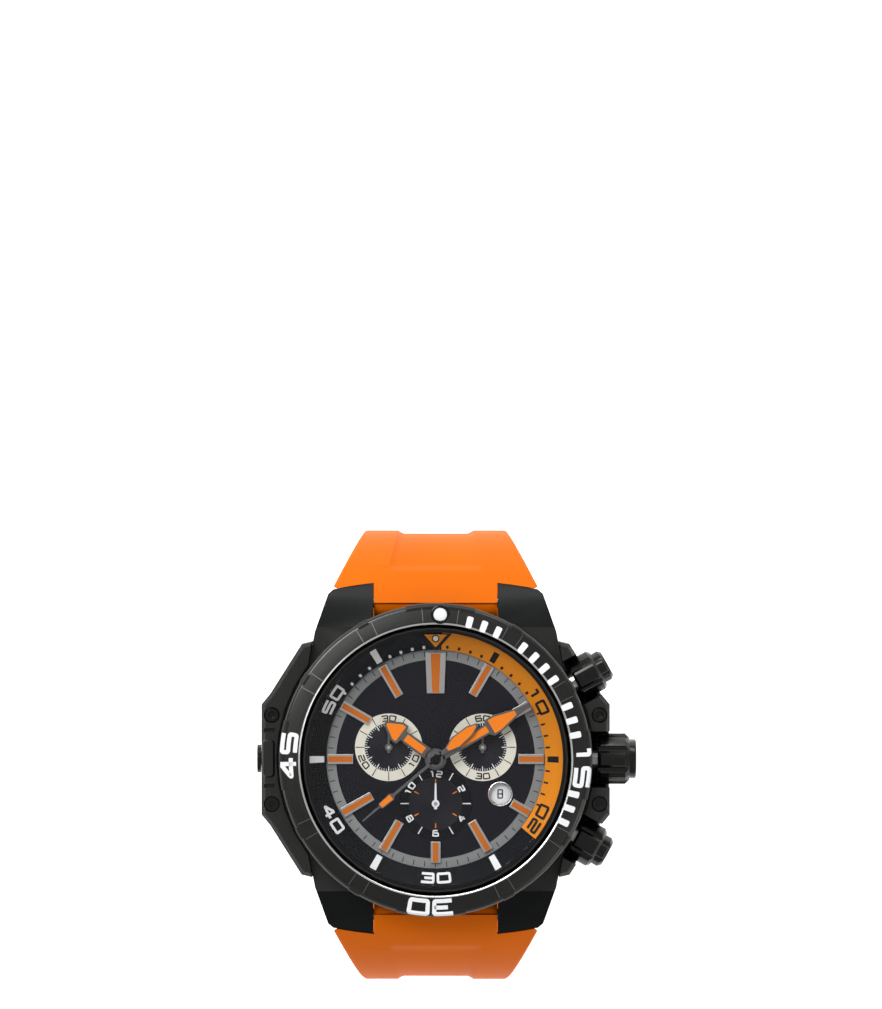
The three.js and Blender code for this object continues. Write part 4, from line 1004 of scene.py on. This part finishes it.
def build_bezel_marks():
    marks = Piece()
    low, high = PRINT_ROOT, sizes().print_height / MM

    def spot(angle, radius):
        return ring_spot(angle + BEZEL_LEFT_AT, radius, True, bezel_level)

    for angle, digits in ((90, "15"), (180, "30"), (270, "45")):
        marks.text(digits, BEZEL_LETTERS, low, high, 0, spot(angle, BEZEL_NUMBER_R))
    for minute in BEZEL_MINUTES:
        marks.prism(oblong(*BEZEL_MARK), low, high, 0, spot(minute * 6, BEZEL_MARK_R))
    lines = [k * 30 + way * PAD_LINE_HALF for k in range(12) if k % 3 for way in (-1, 1)]
    for angle in (*lines, *PIP_BLOCK):
        marks.prism(oblong(*PAD_LINE), low, high, 1, spot(angle, PAD_LINE_R))
    marks.make("bezel_numbers", "bezel", ["print white", "hand grey"], "paper_white")


def build_bezel_pip():
    turn = math.radians(BEZEL_LEFT_AT)
    at = (PIP_AT * math.sin(turn), PIP_AT * math.cos(turn))
    pip = Piece()
    pip.lathe(PIP_RIM, 0, at, 48)
    pip.lathe(PIP_DOME, 1, at, 48)
    finishes = ["gloss black", "lume white"]
    pip.make("bezel_lume_pip", "bezel", finishes, "paper_white", ("bezel_pip",))


# ---------------------------------------------------------------- flange ring
def build_flange():
    ring = Piece()
    profile = [
        (FLANGE_IN, FLANGE_BOTTOM), (FLANGE_BACK_R, FLANGE_BOTTOM), (FLANGE_BACK_R, FLANGE_HIGH),
        (FLANGE_OUT, FLANGE_HIGH), (FLANGE_IN, FLANGE_LOW),
    ]
    slope = 3  # the profile's point from which the slope runs down
    start, end = ORANGE_SECTOR

    def zone(step, point):
        return 1 if point == slope and start <= step * 360 / FLANGE_STEPS < end else 0

    ring.lathe(profile, zone, steps=FLANGE_STEPS)
    finishes = ["flange black", "flange orange"]
    ring.make("flange_slope", "head", finishes, "flange_black", ("flange_ring",))
    build_flange_marks()


def build_flange_marks():
    marks = Piece()
    low, high = FLANGE_PRINT_ROOT, sizes().print_height / MM
    inks = {"white": 0, "black": 1, "orange": 2}

    def mark(minute, radius, outline, ink, lift=0.0):
        spot = ring_spot(minute * 6, radius, True, flange_level)
        marks.prism(outline, low, high + lift, inks[ink], spot)

    for ink, radius, size, minutes in FLANGE_MARKS:
        for minute in minutes:
            mark(minute, radius, oblong(*size), ink)
    for minute, (ink, outward) in FLANGE_NUMBERS.items():
        spot = ring_spot(minute * 6, FLANGE_NUMBER_R, outward, flange_level)
        marks.text(str(minute), FLANGE_LETTERS, low, high, inks[ink], spot)
    mark(0, TRIANGLE_R, TRIANGLE_GROUND, "black", 0.01)
    mark(0, TRIANGLE_R, TRIANGLE, "orange", 0.1)
    mark(0, TRIANGLE_DOT_R, circle(0.6), "black", 0.2)
    mark(0, TRIANGLE_DOT_R, circle(0.42), "white", 0.26)
    finishes = ["print white", "print black", "flange orange"]
    marks.make("flange_numbers", "head", finishes, "paper_white")


# ---------------------------------------------------------------- dial
def build_dial():
    dressed("dial", ["dial black"], sizes().fine_edge)
    frames, inlays = Piece(), Piece()
    frame_low, frame_high = (DIAL_TOP + height for height in MARK_FRAME)
    inlay_low, inlay_high = (DIAL_TOP + height for height in MARK_INLAY)
    for angle, start, end, narrow, wide in HOUR_MARKS:
        spot = flat_spot((0, 0), angle)
        outline = [(-narrow / 2, start), (narrow / 2, start), (wide / 2, end), (-wide / 2, end)]
        frames.prism(outline, frame_low, frame_high, 0, spot)
        side = MARK_BORDER if angle else TWELVE_BORDER
        first, last = start + MARK_END_BORDER, end - MARK_END_BORDER
        inlay = [
            (side - narrow / 2, first), (narrow / 2 - side, first),
            (wide / 2 - side, last), (side - wide / 2, last),
        ]
        inlays.prism(inlay, inlay_low, inlay_high, 0, spot)
    frames.make("hour_mark_frames", "head", ["mark silver"], "bright_steel", edge=0.07 * MM)
    inlays.make("hour_mark_inlays", "head", ["mark orange"], "orange_rubber")
    build_minute_track()
    build_side_subdials()
    build_low_subdial()
    build_date()


def build_minute_track():
    track = Piece()
    low, high = DIAL_TOP + PRINT_LOW, DIAL_TOP + 0.03
    track.lathe(square_ring(TRACK_IN, TRACK_OUT, low, high), 0)
    for minute in range(60):
        spot = ring_spot(minute * 6, MINUTE_TICK_R)
        track.prism(oblong(*MINUTE_TICK), low, high + FILM, 1, spot)
    track.make("minute_track", "head", ["track grey", "print black"], "hand_grey")


def subdial_ticks(face, centre, angles, inner, outer, width, zone, level):
    """Printed ticks between two radii of a sub-dial, up to a level above the dial."""
    for angle in angles:
        spot = ring_spot(angle, (inner + outer) / 2, True, None, centre)
        tick = oblong(width, outer - inner)
        face.prism(tick, DIAL_TOP + 0.01, DIAL_TOP + level, zone, spot)


def subdial_face(centre, rings):
    """The flat rings of a sub-dial, each (inner, outer, low, high, zone), above the dial."""
    face = Piece()
    for inner, outer, low, high, zone in rings:
        face.lathe(square_ring(inner, outer, DIAL_TOP + low, DIAL_TOP + high), zone, centre, 96)
    return face


def subdial_numbers(face, centre, numbers, radius, letters, high, zone):
    """Upright numbers round a sub-dial."""
    for angle, digits in numbers:
        spot = ring_spot(angle, radius, not 90 < angle < 270, None, centre)
        face.text(digits, letters, DIAL_TOP + PRINT_LOW, DIAL_TOP + high, zone, spot)


def build_side_subdials():
    inner, outer = SIDE_DIAL_CENTRE_R, SIDE_DIAL_R
    for name, numbers in SIDE_NUMBERS.items():
        centre = SUBDIALS[name]
        face = subdial_face(centre, (
            (inner, outer, PRINT_LOW, 0.07, 0),
            (ARBOR_HOLE_R, inner, PRINT_LOW, PRINT_LOW + FILM, 1),
        ))
        taken = {angle for angle, _ in numbers}
        hours = [angle for angle in range(0, 360, 30) if angle not in taken]
        minutes = [k * 6 for k in range(60) if k % 5]
        subdial_ticks(face, centre, hours, inner + 0.05, outer - 0.12, 0.13, 2, 0.09)
        subdial_numbers(face, centre, numbers, SIDE_NUMBER_R, SIDE_LETTERS, 0.1, 2)
        subdial_ticks(face, centre, minutes, 3.45, 3.82, 0.075, 3, 0.05)
        subdial_ticks(face, centre, range(0, 360, 30), 3.05, 3.82, 0.14, 3, 0.05)
        grooves = f"subdial grooves {name}"
        FINISHES[grooves] = lambda wanted, at=centre: grooved(wanted, colours().dial, at, 0.32)
        finishes = ["print cream", grooves, "print black", "print white"]
        face.make(f"{name}_subdial_face", "head", finishes, "paper_white")


def build_low_subdial():
    centre = SUBDIALS["hours"]
    inner, outer, high = LOW_DIAL_CENTRE_R, LOW_DIAL_R, 0.05
    face = subdial_face(centre, (
        (inner, outer, PRINT_LOW, high, 0), (outer - LOW_BEAD, outer, PRINT_LOW, high + 0.04, 4),
        (ARBOR_HOLE_R, inner, PRINT_LOW, PRINT_LOW + FILM, 1),
    ))
    subdial_numbers(face, centre, LOW_NUMBERS, LOW_NUMBER_R, LOW_LETTERS, high + 0.03, 2)
    subdial_ticks(face, centre, range(30, 360, 60), 4.3, 5.6, 0.16, 2, 0.09)
    subdial_ticks(face, centre, range(0, 360, 60), 3.15, 3.9, 0.15, 3, 0.06)
    grooves = "subdial grooves hours"
    FINISHES[grooves] = lambda wanted: grooved(wanted, colours().dial, centre, 0.3)
    finishes = ["gloss black", grooves, "print white", "print orange", "flange black"]
    face.make("hours_subdial_face", "head", finishes, "dial_black")


def build_date():
    painted("date_ring", "date disc")
    rim = Piece()
    rim.lathe(softened(DATE_RIM, 0.04), 0, DATE_AT, 64)
    rim.make("date_window_rim", "head", ["steel bright"], "bright_steel", ("date_window_frame",))
    numbers = Piece()
    window = math.degrees(math.atan2(*DATE_AT))
    low, high = DATE_RING_TOP - 0.03, DATE_RING_TOP + 0.02
    for day in range(1, DAYS + 1):
        turned = (day - DATE_SHOWN) * 360 / DAYS
        angle = math.radians(window + turned)
        centre = (DATE_RING_R * math.sin(angle), DATE_RING_R * math.cos(angle))
        numbers.text(str(day), DATE_LETTERS, low, high, 0, flat_spot(centre, turned))
    numbers.make("date_numbers", "date", ["print black"], "paper_white")


# ---------------------------------------------------------------- hands
def hand(angle, outline, inlays, boss, levels):
    """A flat hand with a round boss and raised inlays, turned clockwise to an angle."""
    made = Piece()
    spot = flat_spot((0, 0), angle)
    low, high, inlay_low, inlay_high = levels
    made.prism(mirrored(outline), low, high, 0, spot)
    made.lathe(square_ring(*boss, low, high), 0, steps=64)
    for inlay in inlays:
        made.prism(mirrored(inlay), inlay_low, inlay_high, 1, spot)
    return made


def build_hands():
    finishes = ["hand grey", "lume orange", "gloss black"]
    edge = 0.03 * MM
    hour = hand(HOUR_AT, HOUR_OUTLINE, HOUR_INLAYS, HOUR_BOSS, HOUR_LEVELS)
    hour.make("hour_hand_frame", "hour", finishes[:2], "hand_grey", ("hour_hand",), edge)
    minute = hand(MINUTE_AT, MINUTE_OUTLINE, MINUTE_INLAYS, MINUTE_BOSS, MINUTE_LEVELS)
    minute.make("minute_hand_frame", "minute", finishes[:2], "hand_grey", ("minute_hand",), edge)
    fine = 0.02 * MM
    sweep = hand(SWEEP_AT, SWEEP_OUTLINE, SWEEP_INLAYS, SWEEP_BOSS, SWEEP_LEVELS)
    sweep.lathe(SWEEP_CAP, 2, steps=48)
    sweep.make("sweep_hand_lance", "sweep", finishes, "hand_grey", ("sweep_seconds_hand",), fine)
    for name, centre in SUBDIALS.items():
        small = Piece()
        small.prism(mirrored(SMALL_OUTLINE), *SMALL_LEVELS, 0, flat_spot(centre))
        small.lathe(square_ring(*SMALL_BOSS), 0, centre, 40)
        colour = "hand white" if name == "hours" else "hand grey"
        node = f"{name}_subdial_hand"
        small.make(node + "_blade", f"{name}_subdial", [colour], "hand_white", (node,), fine)
        painted(f"{name}_subdial_arbor", "steel bright")
    for node in ("cannon_pinion", "sweep_arbor"):
        painted(node, "steel turned")
    for node in ("hour_wheel", "minute_wheel"):
        painted(node, "movement brass")


def build_crystal():
    glass = Piece()
    profile = softened([
        (0.0, CRYSTAL_LOW), (CRYSTAL_R - 0.25, CRYSTAL_LOW), (CRYSTAL_R, CRYSTAL_LOW + 0.25),
        (CRYSTAL_R, CRYSTAL_HIGH - 0.45), (CRYSTAL_R - 0.45, CRYSTAL_HIGH - 0.02),
        (0.0, CRYSTAL_HIGH - 0.01),
    ], 0.1)
    glass.lathe(profile, 0, steps=240)
    glass.make("crystal_clear", "head", ["crystal clear"], "glass", ("crystal",))


# ---------------------------------------------------------------- crown and pushers
def glossy(node, edge):
    """Dresses a CAD node in glossy black plating."""
    dressed(node, ["plating gloss"], edge)


def build_crown():
    edge = sizes().edge
    glossy("crown", edge * 1.6)
    glossy("relief_valve_cap", edge)
    for side in ("top", "bottom"):
        glossy(f"pusher_{side}", edge)
        glossy(f"pusher_collar_{side}", edge)
        painted(f"pusher_spring_{side}", "steel bright")
        painted(f"pusher_tube_{side}", "steel drawn")
    painted("winding_stem", "steel drawn")
    painted("crown_tube", "steel drawn")


def build_movement():
    for node, wanted in (
        ("movement_main_plate", "movement brass"), ("train_bridge", "steel turned"),
        ("movement_holder", "holder plastic"), ("battery", "steel bright"),
        ("battery_clamp", "steel drawn"), ("motor_coil", "winding copper"),
    ):
        painted(node, wanted)


# ---------------------------------------------------------------- strap
class StrapLine:
    """The middle line of a strap half, from its lug bar outwards and down."""

    def __init__(self, stretches):
        self.stretches = stretches
        self.length = sum(length for length, _ in stretches)

    def at(self, s):
        y, z = BAR_OUT, BAR_Z
        heading = SHOULDER_TURN - math.pi / 2
        left = s
        for length, radius in self.stretches:
            run = min(left, length)
            if radius:
                turned = heading - run / radius
                y += radius * (math.sin(heading) - math.sin(turned))
                z += radius * (math.cos(turned) - math.cos(heading))
                heading = turned
            else:
                y += run * math.cos(heading)
                z += run * math.sin(heading)
            left -= run
            if left <= 0:
                break
        return y + left * math.cos(heading), z + left * math.sin(heading), heading

    def spot(self, s, side=1):
        """Puts (across, outwards, along) down at a station. Side -1 turns it to 6 o'clock."""
        y, z, heading = self.at(s)

        def place(x, out, along=0.0):
            py = y - out * math.sin(heading) + along * math.cos(heading)
            pz = z + out * math.cos(heading) + along * math.sin(heading)
            return side * x, side * py, pz

        return place


SHOULDER = (SHOULDER_LENGTH, SHOULDER_R)
TAIL_LINE = StrapLine(
    [SHOULDER, (TAIL_DROP, 0), (TAIL_CURL_R * math.pi / 2, TAIL_CURL_R), (TAIL_FLAT, 0)]
)
BUCKLE_LINE = StrapLine(
    [SHOULDER, (BUCKLE_CURL_R * math.radians(BUCKLE_CURL), BUCKLE_CURL_R), (BUCKLE_FLAT, 0)]
)


def ramp(s, s0, s1, a, b):
    return a + (b - a) * max(0.0, min(1.0, (s - s0) / (s1 - s0)))


def narrowing(s, wide, narrow):
    """A width that narrows evenly, as seen from the front, down to the widest reach."""
    stations = (BAND_START, min(max(s, BAND_START), SHOULDER_LENGTH), SHOULDER_LENGTH)
    start, here, reach = (TAIL_LINE.at(station)[0] for station in stations)
    return ramp(here, start, reach, wide, narrow)


def strap_half_width(s):
    """Straight sides down to the widest reach, then soon an even width."""
    even_from = SHOULDER_LENGTH + NARROWS_OVER
    beyond = ramp(s, SHOULDER_LENGTH, even_from, 0, STRAP_AT_REACH - STRAP_NARROW)
    return (narrowing(s, STRAP_WIDE, STRAP_AT_REACH) - beyond) / 2


def strap_section(half, thick, groove, deep):
    """A rounded section with a sunk channel on its outer side."""
    edge = STRAP_EDGE
    section = []
    for sx, sn, start in ((-1, -1, 180), (1, -1, 270), (1, 1, 0), (-1, 1, 90)):
        for i in range(6):
            turn = math.radians(start + 18 * i)
            x = sx * (half - edge) + edge * math.cos(turn)
            section.append((x, sn * (thick - edge) + edge * math.sin(turn)))
        if (sx, sn) == (1, 1):
            wall = [
                (groove - CHANNEL_WALL * share, thick - deep * share**0.8)
                for share in (0.0, 0.15, 0.5, 0.85, 1.0)
            ]
            section.extend(mirrored(wall))
    return section


def strap_band(line, end, width_at, channel_end, side):
    """The moulded band: shouldered at the lugs, tapering, with a sunk channel."""
    band = Piece()
    rings = []
    turn = STRAP_END_ROUND
    opens, open_wide = (BAND_START + run for run in CHANNEL_OPENS)
    for k in range(STRAP_STATIONS + 1):
        s = BAND_ROOT + (end - BAND_ROOT) * k / STRAP_STATIONS
        half = width_at(s)
        last = end - s
        if last < turn:  # the moulding's rounded end
            half -= turn - math.sqrt(max(0.0, turn**2 - (turn - last) ** 2))
        thick = ramp(s, BAND_START, STRAP_SETTLES, STRAP_ROOT_THICK, STRAP_THICK) / 2
        channel = narrowing(s, CHANNEL_WIDE, CHANNEL_NARROW) / 2
        groove = min(channel, half - STRAP_EDGE - 0.3)
        opening = ramp(s, opens, open_wide, 0, 1)
        opening *= ramp(s, channel_end - CHANNEL_CLOSES, channel_end, 1, 0)
        place = line.spot(s, side)
        section = strap_section(half, thick, groove, CHANNEL_DEEP * opening)
        rings.append([place(x, n) for x, n in section])
    band.skin(rings)
    return loose(band, "strap band")


def about_bar(name, side, stations, steps=40):
    """A round object about a lug bar's axis, through stations of (x, radius)."""
    bar = Piece()
    y = side * BAR_OUT
    bar.skin([[(x, y + u, BAR_Z + v) for u, v in circle(r, steps)] for x, r in stations])
    return loose(bar, name)


def strap_half(line, end, width_at, channel_end, side):
    """A strap half with its tongue round the lug bar, still without holes."""
    made = strap_band(line, end, width_at, channel_end, side)
    plan = [
        (TONGUE_HALF, 0), (PAST_LUGS, 0), (PAST_LUGS, LUG_PLAN[0][1]), *LUG_PLAN,
        (TONGUE_HALF, LUG_FACE),
    ]
    inside, outside = SWING_R
    taper = ((TONGUE_HALF, inside), (SWING_TAPER_END, outside), (PAST_LUGS, outside))
    for way in (-1, 1):
        room = Piece()
        room.skin([[(way * x, side * y, z) for x, y in plan] for z in (-4, 12)])
        carved(made, loose(room, "room for a lug"))
        carved(made, about_bar("room to swing", side, [(way * x, r) for x, r in taper], 64))
    y, z, heading = line.at(BAND_START + 1)
    across = STRAP_ROOT_THICK / 2 - 0.1
    sine, cosine = math.sin(heading), math.cos(heading)
    root = [
        (BAR_OUT + EYE_R * sine, BAR_Z - EYE_R * cosine), (y + across * sine, z - across * cosine),
        (y - across * sine, z + across * cosine), (BAR_OUT - EYE_R * sine, BAR_Z + EYE_R * cosine),
    ]
    tongue = Piece()
    tongue.skin([[(x, side * py, pz) for py, pz in root] for x in (-TONGUE_HALF, TONGUE_HALF)])
    eye = about_bar("eye", side, ((-TONGUE_HALF, EYE_R), (TONGUE_HALF, EYE_R)))
    carved(made, eye, "UNION")
    carved(made, loose(tongue, "tongue"), "UNION")
    carved(made, about_bar("bar hole", side, ((-20, BAR_HOLE_R), (20, BAR_HOLE_R))))
    return made


def wearing(made, name, body, node):
    """Takes a carved strap half as a finished piece, in place of its CAD node."""
    mesh = made.data
    bpy.data.objects.remove(made)
    tidy = bmesh.new()
    tidy.from_mesh(mesh)
    bmesh.ops.remove_doubles(tidy, verts=tidy.verts, dist=CARVED_MERGE)
    tidy.to_mesh(mesh)
    tidy.free()
    mesh.materials.clear()
    edge = sizes().rubber_edge * 0.4
    return put_on(mesh, name, body, ["strap rubber"], (node,), edge, 35)


def build_strap_tail():
    line = TAIL_LINE
    end = line.length

    def tip(s):
        reach = max(0.0, min(1.0, (s - end + TIP_LENGTH) / TIP_LENGTH))
        return strap_half_width(s) * (1 - 0.5 * reach**3)

    first = end - LAST_HOLE_AT - (HOLE_COUNT - 1) * HOLE_PITCH
    made = strap_half(line, end, tip, first - CHANNEL_BEFORE_HOLES, -1)
    holes = Piece()
    for k in range(HOLE_COUNT):
        place = line.spot(first + k * HOLE_PITCH, -1)
        holes.skin([[place(u, out, v) for u, v in circle(HOLE_R)] for out in (-4, 4)])
    carved(made, loose(holes, "holes"))
    wearing(made, "strap_tail", "strap_6", "strap_tail_half")


def build_strap_buckle_half():
    line = BUCKLE_LINE
    pin = line.length
    channel_end = pin - KEEPER_SLIDING_AT - 6
    made = strap_half(line, pin + BUCKLE_PAST_PIN, strap_half_width, channel_end, 1)
    place = line.spot(pin, 1)
    slot = Piece()
    slot.skin([[place(u, out, v) for u, v in PRONG_SLOT] for out in (-4, 4)])
    carved(made, loose(slot, "slot"))
    hole = Piece()
    hole.skin([[place(x, v, u) for u, v in circle(BUCKLE_PIN_HOLE_R)] for x in (-20, 20)])
    carved(made, loose(hole, "pin hole"))
    wearing(made, "strap_buckle_end", "strap_12", "strap_buckle_half")


def build_keepers():
    for node in ("keeper_fixed", "keeper_sliding"):
        dressed(node, ["strap rubber"], sizes().rubber_edge)


def build_buckle():
    edge = sizes().edge
    glossy("buckle_frame", edge * 1.5)
    glossy("buckle_prong", edge)
    painted("buckle_bar", "steel drawn")


# ---------------------------------------------------------------- stage
def build_camera():
    lens = bpy.data.cameras.new("front view")
    lens.sensor_width = SENSOR
    lens.lens = SENSOR * CAMERA_ABOVE / PICTURE_TALL
    lens.clip_end = CLIP_END
    camera = bpy.data.objects.new("front view", lens)
    camera.location = (CAMERA_AT[0] * MM, CAMERA_AT[1] * MM, (BEZEL_LEVEL + CAMERA_ABOVE) * MM)
    bpy.context.scene.collection.objects.link(camera)
    bpy.context.scene.camera = camera


def soft_light(name, at, size, power):
    """A rectangular soft light, aimed at the watch."""
    light = bpy.data.lights.new(name, "AREA")
    light.shape = "RECTANGLE"
    light.size, light.size_y = size
    light.energy = power
    made = bpy.data.objects.new(name, light)
    made.location = at
    made.rotation_euler = (-Vector(at)).to_track_quat("-Z", "Y").to_euler()
    bpy.context.scene.collection.objects.link(made)


def build_stage():
    floor = Piece()
    floor.prism(oblong(2 * FLOOR_REACH, 2 * FLOOR_REACH), FLOOR_Z - 1, FLOOR_Z)
    ground = loose(floor, "floor")
    ground.data.materials.append(finish("floor paint"))
    world = bpy.data.worlds.new("studio")
    world.use_nodes = True
    around = world.node_tree.nodes["Background"]
    around.inputs["Color"].default_value = (1.0, 1.0, 1.0, 1.0)
    around.inputs["Strength"].default_value = WORLD_STRENGTH
    bpy.context.scene.world = world
    for light in LIGHTS:
        soft_light(*light)
    bpy.context.scene.view_settings.view_transform = "Standard"
    build_camera()


# ---------------------------------------------------------------- add-on
class Maker:
    """Runs the functions that make an operator's pieces"""

    builders = ()

    def execute(self, context):
        for build in self.builders:
            build()
        return {"FINISHED"}


class WATCH_OT_case(Maker, bpy.types.Operator):
    """Finish the middle case, side guards, screws, case back and seals"""

    bl_idname = "watch.case"
    bl_label = "Case"
    builders = (build_case,)


class WATCH_OT_bezel(Maker, bpy.types.Operator):
    """Turn the bezel ring with its grip pads, numbers and pip"""

    bl_idname = "watch.bezel"
    bl_label = "Bezel"
    builders = (build_bezel,)


class WATCH_OT_flange(Maker, bpy.types.Operator):
    """Make the sloping flange ring with its orange sector and numbers"""

    bl_idname = "watch.flange"
    bl_label = "Flange ring"
    builders = (build_flange,)


class WATCH_OT_dial(Maker, bpy.types.Operator):
    """Make the dial with its applied marks, sub-dials and date"""

    bl_idname = "watch.dial"
    bl_label = "Dial"
    builders = (build_dial,)


class WATCH_OT_hands(Maker, bpy.types.Operator):
    """Make the hands with their inlays"""

    bl_idname = "watch.hands"
    bl_label = "Hands"
    builders = (build_hands,)


class WATCH_OT_crystal(Maker, bpy.types.Operator):
    """Grind the crystal"""

    bl_idname = "watch.crystal"
    bl_label = "Crystal"
    builders = (build_crystal,)


class WATCH_OT_crown(Maker, bpy.types.Operator):
    """Finish the crown, pushers, collars and relief valve"""

    bl_idname = "watch.crown"
    bl_label = "Crown and pushers"
    builders = (build_crown,)


class WATCH_OT_movement(Maker, bpy.types.Operator):
    """Finish the movement's pieces"""

    bl_idname = "watch.movement"
    bl_label = "Movement"
    builders = (build_movement,)


class WATCH_OT_strap(Maker, bpy.types.Operator):
    """Mould both strap halves and the keepers"""

    bl_idname = "watch.strap"
    bl_label = "Strap"
    builders = (build_strap_tail, build_strap_buckle_half, build_keepers)


class WATCH_OT_buckle(Maker, bpy.types.Operator):
    """Finish the buckle frame, its prong and its bar"""

    bl_idname = "watch.buckle"
    bl_label = "Buckle"
    builders = (build_buckle,)


class WATCH_OT_stage(Maker, bpy.types.Operator):
    """Set the floor, the soft lights and the camera"""

    bl_idname = "watch.stage"
    bl_label = "Stage"
    builders = (build_stage,)


OPERATORS = (
    WATCH_OT_stage, WATCH_OT_case, WATCH_OT_bezel, WATCH_OT_flange, WATCH_OT_dial, WATCH_OT_hands,
    WATCH_OT_crystal, WATCH_OT_crown, WATCH_OT_movement, WATCH_OT_strap, WATCH_OT_buckle,
)


class WATCH_PT_looks(bpy.types.Panel):
    """Lists what can be made and the settings it takes"""

    bl_idname = "WATCH_PT_looks"
    bl_label = "Dive watch"
    bl_space_type = "VIEW_3D"
    bl_region_type = "UI"
    bl_category = "Watch"

    def draw(self, context):
        for operator in OPERATORS:
            self.layout.operator(operator.bl_idname)
        for group in (context.scene.watch_colours, context.scene.watch_sizes):
            for name in type(group).__annotations__:
                self.layout.prop(group, name)


CLASSES = (WatchColours, WatchSizes, *OPERATORS, WATCH_PT_looks)


def register():
    for made in CLASSES:
        bpy.utils.register_class(made)
    bpy.types.Scene.watch_colours = bpy.props.PointerProperty(type=WatchColours)
    bpy.types.Scene.watch_sizes = bpy.props.PointerProperty(type=WatchSizes)


def unregister():
    del bpy.types.Scene.watch_sizes
    del bpy.types.Scene.watch_colours
    for made in reversed(CLASSES):
        bpy.utils.unregister_class(made)


def main():
    register()
    for operator in OPERATORS:
        group, name = operator.bl_idname.split(".")
        getattr(getattr(bpy.ops, group), name)()


if __name__ == "__main__":
    main()
